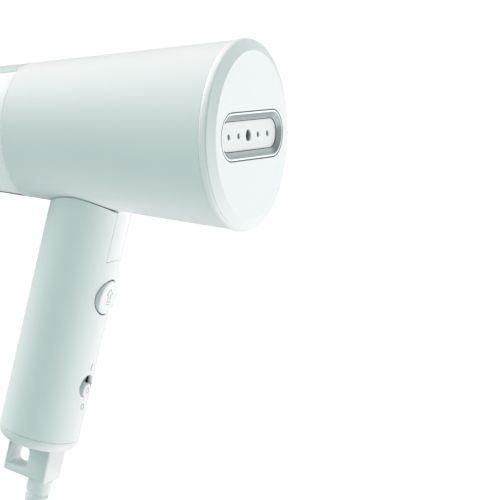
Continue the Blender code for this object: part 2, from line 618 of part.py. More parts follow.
def cut_fold_relief(target, extra):
    """Take off what the barrel would touch while the head folds down over the handle's front edge."""
    pivot = Matrix.Translation(HANDLE_FRAME @ (handle_point(0, HINGE_FORWARD, HINGE_DOWN) * MM))
    for angle in FOLD_RELIEF_ANGLES:
        swung = barrel_solid(f"{target.name}_relief_{angle}", extra, 30.0, 100.0)
        swung.matrix_basis = pivot @ Matrix.Rotation(radians(angle), 4, "X") @ pivot.inverted() @ HEAD_FRAME
        boolean(target, swung)


def make_chassis(parent):
    radius = HANDLE_INNER - GAP
    block_end = 66.0
    chassis = place("inner_chassis", turned([(0.0, down_z(block_end)), (radius, down_z(block_end)),
                                             (radius, down_z(18.0)), (0.0, down_z(18.0))], 40, "Z"),
                    GREY, HANDLE_FRAME, parent)
    spine = as_cutter(place("spine_shape", block((-15.5, 1.0, down_z(140.0)), (15.5, 3.2, down_z(60.0))), GUIDE,
                            HANDLE_FRAME))
    boolean(chassis, spine, "UNION")
    boolean(chassis, barrel_solid("chassis_saddle", SADDLE_GAP + 0.8, 20.0, 120.0))
    cut_fold_relief(chassis, 0.8)
    boolean(chassis, tongue_slot("chassis_slot"))
    boolean(chassis, cutter_cylinder("chassis_wire_hole", 3.6, down_z(70.0), down_z(20.0), "Z", (0, 8.0, 0),
                                     HANDLE_FRAME, 16))
    boolean(chassis, pin_hole("chassis_pin_hole"))
    half = PIN_HALF_LENGTH
    pin = turned([(0.0, -half), (PIN_RADIUS - 0.2, -half), (PIN_RADIUS, 0.2 - half), (PIN_RADIUS, half - 0.2),
                  (PIN_RADIUS - 0.2, half), (0.0, half)], 20, "X")
    place("hinge_pin", shift(pin, handle_point(0, HINGE_FORWARD, HINGE_DOWN)), STEEL, HANDLE_FRAME, parent)


def make_trigger(parent, handle_group, plunger_group):
    z = down_z(TRIGGER_DOWN)
    face = -(HANDLE_RADIUS + 0.7)
    button = turned([(0.0, face), (TRIGGER_RADIUS - 2.2, face + 0.05), (TRIGGER_RADIUS - 0.8, face + 0.25),
                     (TRIGGER_RADIUS, face + 1.0), (TRIGGER_RADIUS, -14.6), (9.8, -14.6), (9.8, -13.2),
                     (2.5, -13.2), (2.5, -10.4), (0.0, -10.4)], 24, "Y")
    place("trigger_button", shift(button, (0, 0, z)), WHITE, HANDLE_FRAME, parent)
    switch = place("trigger_switch", block((-6.0, -6.0, z - 10), (6.0, 0.7, z + 10)), BLACK, HANDLE_FRAME,
                   handle_group)
    boolean(switch, cutter_cylinder("switch_bore", 1.8, -7.0, -0.5, "Y", (0, 0, z), HANDLE_FRAME, 12))
    plunger = turned([(0.0, -10.1), (1.3, -10.1), (1.6, -9.8), (1.6, -3.5), (0.0, -3.5)], 12, "Y")
    place("switch_plunger", shift(plunger, (0, 0, z)), RED, HANDLE_FRAME, plunger_group)
    turns = 2.5
    start = -6.3 - 0.5
    length = 2.6
    steps = int(turns * 12)
    route = []
    for step in range(steps + 1):
        angle = 2 * pi * turns * step / steps
        route.append((4.4 * cos(angle), start - length * step / steps, z + 4.4 * sin(angle)))
    tube("trigger_spring", route, 0.4, STEEL, HANDLE_FRAME, handle_group, 1, 2.4)


def make_slider(parent, handle_group):
    z = down_z(SLIDER_DOWN) - SLIDER_HOLE_RADIUS + KNOB_RADIUS + KNOB_CLEARANCE
    knob = place("slide_knob", turned([(0.0, -(HANDLE_RADIUS + 0.6)), (KNOB_RADIUS - 0.6, -(HANDLE_RADIUS + 0.5)),
                                       (KNOB_RADIUS, -(HANDLE_RADIUS)), (KNOB_RADIUS, -15.8), (0.0, -15.8)],
                                      24, "Y"), WHITE, HANDLE_FRAME, parent)
    knob.data.transform(Matrix.Translation((0, 0, z * MM)))
    plate = as_cutter(place("knob_plate", block((-6.4, -16.2, z - 11.5), (6.4, -14.8, z + 12.0)), GUIDE,
                            HANDLE_FRAME))
    boolean(knob, plate, "UNION")
    stem = as_cutter(place("knob_stem", block((-1.5, -15.0, z - 2.5), (1.5, -9.0, z + 2.5)), GUIDE, HANDLE_FRAME))
    boolean(knob, stem, "UNION")
    switch = place("slide_switch", block((-6.5, -11.6, z - 8), (6.5, 0.7, z + 13)), BLACK, HANDLE_FRAME,
                   handle_group)
    boolean(switch, as_cutter(place("switch_slot", block((-1.9, -13, z - 3.0), (1.9, -8.6, z + 7.2)), GUIDE,
                                    HANDLE_FRAME)))


def make_board(parent):
    board = block((-11.0, 6.0, down_z(138.0)), (11.0, 7.4, down_z(80.0)))
    place("control_board", board, GREEN, HANDLE_FRAME, parent)
    relay = block((-7.0, 7.7, down_z(112.0)), (7.0, 14.0, down_z(94.0)))
    place("power_relay", relay, BLACK, HANDLE_FRAME, parent)


def make_end_cap(parent):
    bottom = down_z(CAP_END)
    seam = down_z(SLEEVE_END + 0.35)
    fillet = 6.0
    outer = HANDLE_RADIUS - 0.1
    spigot = HANDLE_INNER - GAP
    outline = [(0.0, bottom), (outer - fillet, bottom)]
    outline += arc((outer - fillet, bottom + fillet), fillet, -75, 0, 6)
    outline += [(outer, seam), (spigot, seam), (spigot, seam + 8.0), (15.2, seam + 8.0), (15.2, bottom + 2.6),
                (0.0, bottom + 2.6)]
    cap = place("end_cap", turned(outline, HANDLE_STEPS, "Z"), WHITE, HANDLE_FRAME, parent, smooth=30)
    front, rear = -13.0, 12.3
    plan = [(-8.3, front + 1.5), (-7.9, front + 0.5), (-6.9, front), (6.9, front), (7.9, front + 0.5),
            (8.3, front + 1.5), (6.6, rear - 1.5), (6.2, rear - 0.4), (5.2, rear), (-5.2, rear),
            (-6.2, rear - 0.4), (-6.6, rear - 1.5)]
    loop = as_cutter(place("loop_block", prism(plan, down_z(LOOP_END), bottom + 1.0, "Z"), GUIDE, HANDLE_FRAME))
    boolean(cap, loop, "UNION")
    post = block((-8.2, -3.4, bottom + 1.0), (8.2, 1.0, down_z(150.8)))
    boolean(cap, as_cutter(place("clamp_post", post, GUIDE, HANDLE_FRAME)), "UNION")
    hole = [(y + LOOP_HOLE_Y, z + down_z(LOOP_HOLE_DOWN)) for y, z in rounded_box(5.8, 5.6, 2.6, 4)]
    boolean(cap, as_cutter(place("loop_hole", prism(hole, -12, 12), GUIDE, HANDLE_FRAME)))
    for index, side in enumerate((-1, 1), 1):
        boolean(cap, clamp_screw_hole(f"post_hole_{index}", side * CLAMP_SCREW_X))
    boolean(cap, cutter_cylinder("cord_passage", 4.2, down_z(LOOP_END + 2), down_z(157.0), "Z",
                                 (0, -CORD_FORWARD, 0), HANDLE_FRAME, 24))


def make_cord_entry(parent):
    top = down_z(158.0)
    under = down_z(LOOP_END) - GAP
    end = down_z(RELIEF_END)
    outline = [(0.0, top), (3.9, top), (3.9, under), (6.1, under), (6.1, under - 6.6), (5.9, under - 7.0)]
    ribs = 5
    rib_start = under - 7.0
    pitch = (rib_start - end - 2.0) / ribs
    for rib in range(ribs):
        z = rib_start - rib * pitch
        radius = 5.9 - 1.5 * rib / ribs
        outline += [(radius - 1.3, z), (radius - 1.3, z - 1.2), (radius, z - 1.2), (radius - 0.2, z - pitch)]
    outline += [(4.2, end), (0.0, end)]
    place("strain_relief", shift(turned(outline, 14, "Z"), (0, -CORD_FORWARD, 0)), WHITE_RUBBER,
          HANDLE_FRAME, parent)
    clamp = place("cord_clamp", block((-8.2, -10.2, CLAMP_Z - 2.5), (8.2, -8.0, CLAMP_Z + 2.5)), GREY,
                  HANDLE_FRAME, parent)
    for index, side in enumerate((-1, 1), 1):
        x = side * CLAMP_SCREW_X
        boolean(clamp, clamp_screw_hole(f"clamp_hole_{index}", x))
        screw(f"clamp_screw_{index}", (x, -10.2 - GAP, CLAMP_Z), HANDLE_FRAME, parent, length=8.5, head=2.2)
    tube("handle_wiring", [(0, -6.2, top + 0.4), (0, -5.9, top + 4), (0, -5.8, top + 8), (0, -3.5, top + 11.5),
                           (0, 1.5, top + 13.5), (0, 7, top + 14.5), (0, 11.5, top + 19), (0, 13.6, top + 26),
                           (3, 14.0, top + 32), (6, 14.2, top + 39), (10.6, 11.3, top + 46),
                           (10.8, 11.2, top + 58), (8, 12.0, top + 70), (2, 10.5, top + 82), (0, 8.4, top + 88),
                           (0, 8.0, top + 94), (0, 8.0, top + 112)], 1.9, RED, HANDLE_FRAME, parent, 2, 4.5)


def clamp_screw_hole(name, x):
    return cutter_cylinder(name, 1.4, -13, -0.5, "Y", (x, 0, CLAMP_Z), HANDLE_FRAME, 10)


# ---------------------------------------------------------------- cord, in world terms

def cord_exit():
    return HANDLE_FRAME @ handle_point(0, CORD_FORWARD, RELIEF_END + GAP)


def hank_outer_turn():
    return HANK_INNER_TURN + 2 * CORD_RADIUS


def make_cord(parent):
    start = cord_exit()
    along = HANDLE_FRAME.to_3x3() @ Vector((0, 0, -1))
    side = HANK_Y + hank_outer_turn()
    route = [start, start + along * 8, start + along * 16, Vector((0, side - 0.2, -132.0)),
             Vector((0, side, -136.6))]
    tube("power_cord", route, CORD_RADIUS, WHITE_RUBBER, CORD_FRAME, parent, 3, 5.5)
    outer = hank_outer_turn() + CORD_RADIUS
    outline = arc((HANK_Y, HANK_RUN_TOP), outer, 0, 180, 16) + arc((HANK_Y, HANK_RUN_BOTTOM), outer, 180, 360, 16)
    thickness = HANK_LAYERS * 2 * CORD_RADIUS
    place("cord_hank", prism(outline, -CORD_RADIUS, thickness - CORD_RADIUS), WHITE_RUBBER, CORD_FRAME, parent)
    middle = (thickness / 2 - CORD_RADIUS, HANK_Y)
    tie_z = (HANK_RUN_TOP + HANK_RUN_BOTTOM) / 2
    tie = lofted([(rounded_box(thickness / 2 + reach, outer + reach, reach, 3), along_z)
                  for reach, along_z in ((GAP, 0), (GAP, 11), (GAP + 1.2, 11), (GAP + 1.2, 0))], closed_ring=True)
    bmesh.ops.rotate(tie, cent=(0, 0, 0), matrix=Matrix.Rotation(-pi / 2, 3, "X"), verts=tie.verts)
    place("cord_tie", shift(tie, (*middle, tie_z + 5.5)), BLACK, CORD_FRAME, parent)
    tail = [(20.4, 12.8, -183.0), (24.8, 6.6, -191.5), (28.0, 2.2, -200.0), (PLUG_X, HANK_Y, -207.0),
            (PLUG_X, HANK_Y, PLUG_TOP + GAP)]
    tube("cord_tail", tail, CORD_RADIUS, WHITE_RUBBER, CORD_FRAME, parent, 3, 5.5)


def make_plug(parent):
    sections = [(rounded_box(4.2, 4.2, 4.0, 3), 0.0), (rounded_box(5.2, 5.2, 5.0, 3), 18.0),
                (rounded_box(7.0, 8.0, 6.5, 3), 20.5), (rounded_box(10.5, 14.5, 9.0, 3), 28.0),
                (rounded_box(12.3, 17.3, 11.0, 3), 36.0), (rounded_box(12.3, 17.3, 11.0, 3), 54.0),
                (rounded_box(11.3, 16.3, 10.0, 3), 55.5)]
    body = lofted(sections)
    bmesh.ops.rotate(body, cent=(0, 0, 0), matrix=Matrix.Rotation(-pi / 2, 3, "X"), verts=body.verts)
    place("plug_body", shift(body, (PLUG_X, HANK_Y, PLUG_TOP)), WHITE_RUBBER, CORD_FRAME, parent)
    for side, name in ((-1, "plug_pin_front"), (1, "plug_pin_rear")):
        top = PLUG_TOP - 55.5 - GAP
        pin = turned([(0.0, top), (2.4, top), (2.4, top - 17.5), (1.4, top - 19.0), (0.0, top - 19.0)], 12, "Z")
        place(name, shift(pin, (PLUG_X, HANK_Y + side * 9.5, 0)), STEEL, CORD_FRAME, parent)


# ---------------------------------------------------------------- assembly

def make_groups():
    """Empties on the joint axes: the handle carries the head, and the head carries the tank."""
    handle = group("handle_group", HANDLE_FRAME, (0, 0, 0))
    head = group("head_group", HANDLE_FRAME, handle_point(0, HINGE_FORWARD, HINGE_DOWN), handle)
    tank = group("tank_group", HEAD_FRAME, (0, TANK_START, 0), head)
    latch_y = (LATCH_START + LATCH_END) / 2
    return {"handle": handle, "head": head, "tank": tank,
            "latch_top": group("latch_top_group", HEAD_FRAME, (0, latch_y, barrel_radius(latch_y)), tank),
            "latch_bottom": group("latch_bottom_group", HEAD_FRAME, (0, latch_y, -barrel_radius(latch_y)), tank),
            "filler": group("filler_group", HEAD_FRAME, (0, TANK_LENGTH_END, FILLER_Z), tank),
            "trigger": group("trigger_group", HANDLE_FRAME, handle_point(0, HANDLE_RADIUS, TRIGGER_DOWN), handle),
            "plunger": group("plunger_group", HANDLE_FRAME, handle_point(0, 10, TRIGGER_DOWN), handle),
            "slider": group("slider_group", HANDLE_FRAME, handle_point(0, HANDLE_RADIUS, SLIDER_DOWN), handle)}


def make_steamer():
    groups = make_groups()
    for make in (make_head_shell, make_front, make_outlet, make_boiler, make_head_inside, make_hinge_bush):
        make(groups["head"])
    make_tank(groups["tank"])
    make_latches(groups["latch_top"], groups["latch_bottom"], groups["tank"])
    make_filler(groups["filler"])
    for make in (make_sleeve, make_chassis, make_board, make_end_cap, make_cord_entry, make_cord, make_plug):
        make(groups["handle"])
    make_trigger(groups["trigger"], groups["handle"], groups["plunger"])
    make_slider(groups["slider"], groups["handle"])


clear_scene()
GUIDE = make_material("guide", (1.0, 0.4, 0.1), 0.5)
WHITE = make_material("white_plastic", (0.86, 0.88, 0.88), 0.35)
CHROME = make_material("bright_trim", (0.80, 0.83, 0.84), 0.18, 1.0)
CLEAR = make_material("frosted_tank", (0.88, 0.92, 0.92), 0.2, transmission=0.4)
GREY = make_material("grey_plastic", (0.52, 0.56, 0.57), 0.45)
BLACK = make_material("black_plastic", (0.03, 0.03, 0.035), 0.5)
RED = make_material("wire_sleeve", (0.45, 0.06, 0.05), 0.5)
GREEN = make_material("circuit_board", (0.03, 0.22, 0.10), 0.5)
RUBBER = make_material("dark_rubber", (0.08, 0.08, 0.085), 0.75)
SILICONE = make_material("silicone", (0.75, 0.74, 0.70), 0.55)
WHITE_RUBBER = make_material("white_cord", (0.84, 0.86, 0.86), 0.5)
ALUMINIUM = make_material("cast_aluminium", (0.72, 0.73, 0.74), 0.45, 1.0)
STEEL = make_material("steel", (0.62, 0.63, 0.65), 0.3, 1.0)
COPPER = make_material("copper_winding", (0.72, 0.36, 0.18), 0.35, 1.0)
BRASS = make_material("brass", (0.78, 0.60, 0.28), 0.3, 1.0)
CERAMIC = make_material("ceramic", (0.85, 0.83, 0.78), 0.6)
make_steamer()
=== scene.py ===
"""Looks of the handheld garment steamer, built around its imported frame.

Sizes are in millimetres, and place() turns a finished shape into metres. Three frames are used:
- WORLD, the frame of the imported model, for the stored cord with its tie and plug
- HANDLE, whose origin is the middle of the grip: X sideways, Y to the rear, Z up along the handle
- HEAD, whose origin is on the barrel's axis at the front rim: X sideways, Y to the rear, Z up
"""
import json
from math import atan2, cos, pi, radians, sin, sqrt

import bmesh
import bpy
from mathutils import Matrix, Vector


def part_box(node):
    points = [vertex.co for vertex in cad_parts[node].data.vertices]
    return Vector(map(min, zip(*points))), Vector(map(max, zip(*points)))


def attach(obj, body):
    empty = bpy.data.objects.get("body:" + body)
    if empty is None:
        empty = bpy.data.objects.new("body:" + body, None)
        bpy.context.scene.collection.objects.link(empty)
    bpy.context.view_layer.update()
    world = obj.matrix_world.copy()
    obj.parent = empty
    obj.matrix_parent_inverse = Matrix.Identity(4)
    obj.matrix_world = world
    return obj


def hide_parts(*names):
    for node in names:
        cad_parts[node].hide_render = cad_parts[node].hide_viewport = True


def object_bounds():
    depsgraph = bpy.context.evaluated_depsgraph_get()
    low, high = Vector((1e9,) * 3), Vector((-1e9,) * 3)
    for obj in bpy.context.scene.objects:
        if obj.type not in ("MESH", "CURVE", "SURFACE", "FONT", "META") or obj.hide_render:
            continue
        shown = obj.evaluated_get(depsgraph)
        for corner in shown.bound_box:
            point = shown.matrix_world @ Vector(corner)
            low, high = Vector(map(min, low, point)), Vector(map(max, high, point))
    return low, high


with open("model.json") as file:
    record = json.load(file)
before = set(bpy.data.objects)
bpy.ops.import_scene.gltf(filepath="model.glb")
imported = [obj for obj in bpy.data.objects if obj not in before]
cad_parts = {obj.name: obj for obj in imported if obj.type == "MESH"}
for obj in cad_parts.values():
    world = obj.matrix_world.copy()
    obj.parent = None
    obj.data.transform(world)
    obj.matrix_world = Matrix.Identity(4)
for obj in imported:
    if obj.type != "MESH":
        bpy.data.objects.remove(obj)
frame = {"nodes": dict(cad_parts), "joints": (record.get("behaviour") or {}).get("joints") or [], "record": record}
CAD_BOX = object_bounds()

MM = 0.001

# Frames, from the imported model
HINGE = next(joint for joint in frame["joints"] if joint["name"] == "head_fold")
PRESS = next(joint for joint in frame["joints"] if joint["name"] == "trigger_press")
LEAN = atan2(PRESS["axis"][2], PRESS["axis"][1])
HANDLE = Matrix.Rotation(LEAN, 4, "X")
RING_LOW, RING_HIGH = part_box("trim_ring")
HEAD_POINT = Vector((0.0, RING_LOW.y, (RING_LOW.z + RING_HIGH.z) / 2))
HEAD = Matrix.Translation(HEAD_POINT)
WORLD = Matrix.Identity(4)
PIVOT = HANDLE.inverted() @ Vector(HINGE["pos_m"]) / MM

# Barrel
FRONT_RADIUS = 46.0
BARREL_LENGTH = 116.1
BARREL_REAR_RADIUS = 33.4
BARREL_WALL = 2.5
BARREL_SLOPE = (FRONT_RADIUS - BARREL_REAR_RADIUS) / BARREL_LENGTH
REAR_LIP = 1.6
RING_WIDTH = 3.5
SHELL_START = RING_WIDTH + 0.3
FACE_RADIUS = 40.5
FACE_Y = -3.0
FACE_THICKNESS = 2.4
SLOPE_OUTSIDE, SLOPE_BACK = FRONT_RADIUS - 0.2, -0.6
SLOPE_INSIDE, SLOPE_FRONT = FACE_RADIUS + 0.3, FACE_Y + 0.1
SKIRT_RADIUS = FRONT_RADIUS - 3.9
SKIRT_END = 9.0
COVER_BACK = -0.06
WIRE_HOLE_RADIUS = 4.5
WIRE_HOLE_Y = 6.0
PIN_BORE_RADIUS = 2.7
GAP = 0.3

# Fineness of round shapes, and the size of the slivers that a cut may leave
ROUND = 160
INSIDE_ROUND = 144
SLIVER = 0.003

# Steam outlet, with places measured from the flat face
OUTLET_HALF_WIDTH = 34.7
OUTLET_HALF_HEIGHT = 11.5
OUTLET_FRONT = 0.05
OUTLET_RIM = 0.6
OUTLET_INSET = 0.9
PLATE_HALF_WIDTH = 31.5
PLATE_HALF_HEIGHT = 7.4
PLATE_Y = FACE_Y + 2.2
PLATE_THICKNESS = 1.8
STEAM_HOLE_PITCH = 10.9
STEAM_HOLE_RADIUS = 1.4
MIDDLE_HOLE_RADIUS = 2.8
HOLE_FLARE = 0.4

# Handle, with heights along it measured down from the barrel's axis
HANDLE_RADIUS = 20.2
HANDLE_INNER = 18.0
HANDLE_TOP = 18.0
GRIP_DROP = 105.0
SLEEVE_END = 155.6
SLEEVE_GAP = 0.6
SWUNG_GAP = 0.25
CAP_END = 162.0
CAP_FILLET = 6.0
CAP_BORE_RADIUS = 15.2
CAP_FLOOR = 2.6
SPIGOT_LENGTH = 8.0
LOOP_END = 179.0
LOOP_FRONT = -13.0
LOOP_REAR = 12.3
LOOP_HOLE_DOWN = 170.1
LOOP_HOLE_Y = 4.8
CORD_PASSAGE_RADIUS = 4.2
TONGUE_HALF_WIDTH = 7.3
TONGUE_REAR = 7.4
TONGUE_TOP = 26.0
KNUCKLE_RADIUS = 8.05
SLOT_KNUCKLE_GAP = 0.2
SLOT_REAR_GAP = 0.6
SLOT_SIDE_GAP = 0.28
TRIGGER_DOWN = 79.3
TRIGGER_RADIUS = 8.6
TRIGGER_PROUD = 0.7
TRIGGER_BACK = -13.2
TRIGGER_HOLE_RADIUS = 9.3
SLIDER_DOWN = 125.7
SLIDER_HOLE_RADIUS = 6.0
KNOB_RADIUS = 3.6
KNOB_PROUD = 0.6
KNOB_BACK = -15.65
KNOB_DOWN = SLIDER_DOWN + SLIDER_HOLE_RADIUS - KNOB_RADIUS - 0.25
ON_MARK_TOP, ON_MARK_END = 113.9, 117.5
OFF_MARK_DOWN = 136.6
MARK_RADIUS = 0.24

# Tank
TANK_START = 116.6
TANK_NECK_RADIUS = 30.2
TANK_NECK_START = 104.6
TANK_END = 168.0
TANK_END_FILLET = 8.0
TANK_WALL = 1.8
TANK_FLAT = 22
LATCH_START = 118.4
LATCH_END = 146.0
LATCH_DEPTH = 0.95
LATCH_GAP = 0.4
LATCH_SIDE_GAP = 1.1
POCKET_DEPTH = 4.2
TOP_LATCH_HALF = 27.0
BOTTOM_LATCH_HALF = 18.0
GROOVES = 5
GROOVE_START = 9.0
GROOVE_PITCH = 2.6
GROOVE_RADIUS = 0.45
FILLER_Z = 6.0
FILLER_HOLE_RADIUS = 6.0

# Cord
CORD_RADIUS = 3.3
CORD_FORWARD = 6.8
RELIEF_END = 216.0
INNER_TURN = 20.0
OUTER_TURN = INNER_TURN + 2 * CORD_RADIUS
RUN_TOP = -156.0
RUN_BOTTOM = -256.0
HANK_Y = 0.4
PLUG_X = 29.3
PLUG_TOP = -212.0
PLUG_LENGTH = 55.5


# ---- camera, floor and light

CAMERA_AZIMUTH = radians(-65.034)
CAMERA_ELEVATION = radians(5.537)
CAMERA_LENS = 187.2
CAMERA_OFFSET = Vector((-1.125095, -0.525399, 0.065209))
FLOOR_RADIUS = 60.0
FLOOR_DROP = 0.02
FLOOR_GLOW = 0.11

# The dome's soft lamps: where the middle of each lies, its sharpness and its colour
LAMPS = [((-0.1, 0.7, 0.7), 8, (3.5, 2.95, 2.8)),
         ((0.2, -0.5, -0.84), 8, (3.3, 2.5, 2.6)),
         ((0.9, -0.42, -0.12), 10, (0.66, 0.34, 0.34)),
         ((0.0, -1.0, 0.0), 4, (0.28, 0.28, 0.24)),
         ((0.0, 0.0, 1.0), 6, (0.33, 0.07, 0.15))]
FILL = (0.362, 0.505, 0.505)

# Glossy rays see the dome in grey, up to a limit, and one more lamp
MIRROR_LIMIT = 1.3
MIRROR_LAMP = (0.9, -0.42, 0.0)
MIRROR_SHARPNESS = 14
MIRROR_GAIN = 1.9


def show(obj):
    bpy.context.scene.collection.objects.link(obj)


def make_camera():
    """Seen from the outlet's side, a little from above, with the head near the middle of the view."""
    azimuth, elevation = CAMERA_AZIMUTH, CAMERA_ELEVATION
    back = Vector((sin(azimuth) * cos(elevation), -cos(azimuth) * cos(elevation), sin(elevation)))
    right = Vector((cos(azimuth), sin(azimuth), 0.0))
    up = back.cross(right)
    data = bpy.data.cameras.new("camera")
    data.sensor_width = 36.0
    data.lens = CAMERA_LENS
    camera = bpy.data.objects.new("camera", data)
    camera.matrix_world = Matrix((right, up, back)).transposed().to_4x4()
    camera.location = HEAD_POINT + CAMERA_OFFSET
    show(camera)
    bpy.context.scene.camera = camera


def make_floor():
    """A wide pale floor under the cord, glowing a little. The object gets no light or reflection from it."""
    bm = bmesh.new()
    bmesh.ops.create_circle(bm, cap_ends=True, radius=FLOOR_RADIUS, segments=64)
    mesh = bpy.data.meshes.new("floor")
    bm.to_mesh(mesh)
    bm.free()
    floor = bpy.data.objects.new("floor", mesh)
    floor.location.z = CAD_BOX[0][2] - FLOOR_DROP
    material = bpy.data.materials.new("floor_paint")
    material.use_nodes = True
    shader = material.node_tree.nodes["Principled BSDF"]
    shader.inputs["Base Color"].default_value = (0.96, 0.97, 0.97, 1.0)
    shader.inputs["Roughness"].default_value = 1.0
    shader.inputs["Specular IOR Level"].default_value = 0.0
    shader.inputs["Emission Color"].default_value = (1.0, 1.0, 1.0, 1.0)
    shader.inputs["Emission Strength"].default_value = FLOOR_GLOW
    mesh.materials.append(material)
    floor.visible_diffuse = False
    floor.visible_glossy = False
    floor.visible_shadow = False
    show(floor)


def math_node(nodes, links, operation, first, second):
    """A math node on an output, with a number or another output. Returns its own output."""
    node = nodes.new("ShaderNodeMath")
    node.operation = operation
    links.new(first, node.inputs[0])
    if isinstance(second, (int, float)):
        node.inputs[1].default_value = second
    else:
        links.new(second, node.inputs[1])
    return node.outputs[0]


def lobe(nodes, links, direction, toward, sharpness, gain=1.0):
    """Brightness of one soft lamp of the dome: greatest toward its middle, fading to nothing around it."""
    facing = nodes.new("ShaderNodeVectorMath")
    facing.operation = "DOT_PRODUCT"
    facing.inputs[1].default_value = Vector(toward).normalized()
    links.new(direction.outputs["Generated"], facing.inputs[0])
    front = math_node(nodes, links, "MAXIMUM", facing.outputs["Value"], 0.0)
    power = math_node(nodes, links, "POWER", front, sharpness)
    return math_node(nodes, links, "MULTIPLY", power, gain)


def make_world():
    """White to look at. Its light is a cool fill with large soft lamps: above and behind, and low in front.
    Glossy rays see those lamps in grey, with one of their own."""
    world = bpy.data.worlds.new("studio")
    bpy.context.scene.world = world
    world.use_nodes = True
    if hasattr(world, "cycles"):
        world.cycles.sampling_method = "NONE"
    nodes, links = world.node_tree.nodes, world.node_tree.links
    nodes.clear()
    direction = nodes.new("ShaderNodeTexCoord")
    total = None
    for toward, sharpness, color in LAMPS:
        glow = nodes.new("ShaderNodeVectorMath")
        glow.operation = "MULTIPLY_ADD"
        glow.inputs[0].default_value = color
        links.new(lobe(nodes, links, direction, toward, sharpness), glow.inputs[1])
        if total is None:
            glow.inputs[2].default_value = FILL
        else:
            links.new(total, glow.inputs[2])
        total = glow.outputs["Vector"]
    grey = nodes.new("ShaderNodeRGBToBW")
    links.new(total, grey.inputs["Color"])
    limited = math_node(nodes, links, "MINIMUM", grey.outputs["Val"], MIRROR_LIMIT)
    mirror_lamp = lobe(nodes, links, direction, MIRROR_LAMP, MIRROR_SHARPNESS, MIRROR_GAIN)
    sheen = math_node(nodes, links, "ADD", limited, mirror_lamp)
    path = nodes.new("ShaderNodeLightPath")
    choose = nodes.new("ShaderNodeMix")
    choose.data_type = "RGBA"
    links.new(path.outputs["Is Glossy Ray"], choose.inputs["Factor"])
    links.new(total, choose.inputs["A"])
    links.new(sheen, choose.inputs["B"])
    dome = nodes.new("ShaderNodeBackground")
    links.new(choose.outputs["Result"], dome.inputs["Color"])
    seen = nodes.new("ShaderNodeBackground")
    seen.inputs["Color"].default_value = (1.0, 1.0, 1.0, 1.0)
    mix = nodes.new("ShaderNodeMixShader")
    links.new(path.outputs["Is Camera Ray"], mix.inputs["Fac"])
    links.new(dome.outputs[0], mix.inputs[1])
    links.new(seen.outputs[0], mix.inputs[2])
    output = nodes.new("ShaderNodeOutputWorld")
    links.new(mix.outputs[0], output.inputs["Surface"])


def make_light():
    """A small soft lamp above and behind, for the highlights along the rims."""
    data = bpy.data.lights.new("rim_lamp", "AREA")
    data.shape = "RECTANGLE"
    data.size = 0.5
    data.size_y = 0.9
    data.energy = 1.5
    light = bpy.data.objects.new("rim_lamp", data)
    light.location = HEAD_POINT + Vector((-0.2, 1.3, 1.0))
    light.rotation_euler = (HEAD_POINT - light.location).to_track_quat("-Z", "Y").to_euler()
    show(light)


# ---- materials

PLASTIC_IOR = 1.46
SLOW_SCALE = 45.0


def surface(name, color, roughness, metallic=0.0, grain=0.3, depth=0.01, spread=0.06, tone=0.03,
            transmission=0.0, stretch=(1.0, 1.0, 1.0)):
    """A moulded or metal surface: fine grain in its relief, and slow changes in its gloss and tone.
    grain is the size of the texture and depth is its height, both in millimetres."""
    material = bpy.data.materials.new(name)
    material.use_nodes = True
    nodes, links = material.node_tree.nodes, material.node_tree.links
    shader = nodes["Principled BSDF"]
    shader.inputs["Metallic"].default_value = metallic
    shader.inputs["IOR"].default_value = PLASTIC_IOR
    shader.inputs["Transmission Weight"].default_value = transmission
    coordinates = nodes.new("ShaderNodeTexCoord")
    stretched = nodes.new("ShaderNodeMapping")
    stretched.inputs["Scale"].default_value = stretch
    links.new(coordinates.outputs["Object"], stretched.inputs["Vector"])
    fine = nodes.new("ShaderNodeTexNoise")
    fine.inputs["Scale"].default_value = 1.0 / (grain * MM)
    fine.inputs["Detail"].default_value = 3.0
    slow = nodes.new("ShaderNodeTexNoise")
    slow.inputs["Scale"].default_value = SLOW_SCALE
    slow.inputs["Detail"].default_value = 4.0
    for texture in (fine, slow):
        links.new(stretched.outputs["Vector"], texture.inputs["Vector"])
    gloss = nodes.new("ShaderNodeMapRange")
    gloss.inputs["To Min"].default_value = max(0.02, roughness - spread)
    gloss.inputs["To Max"].default_value = min(1.0, roughness + spread)
    links.new(slow.outputs["Fac"], gloss.inputs["Value"])
    links.new(gloss.outputs["Result"], shader.inputs["Roughness"])
    tint = nodes.new("ShaderNodeValToRGB")
    tint.color_ramp.elements[0].position = 0.3
    tint.color_ramp.elements[0].color = (*[channel * (1 - tone) for channel in color], 1.0)
    tint.color_ramp.elements[1].position = 0.7
    tint.color_ramp.elements[1].color = (*[min(1.0, channel * (1 + tone / 2)) for channel in color], 1.0)
    links.new(slow.outputs["Fac"], tint.inputs["Fac"])
    links.new(tint.outputs["Color"], shader.inputs["Base Color"])
    bump = nodes.new("ShaderNodeBump")
    bump.inputs["Strength"].default_value = 1.0
    bump.inputs["Distance"].default_value = depth * MM
    links.new(fine.outputs["Fac"], bump.inputs["Height"])
    links.new(bump.outputs["Normal"], shader.inputs["Normal"])
    return material


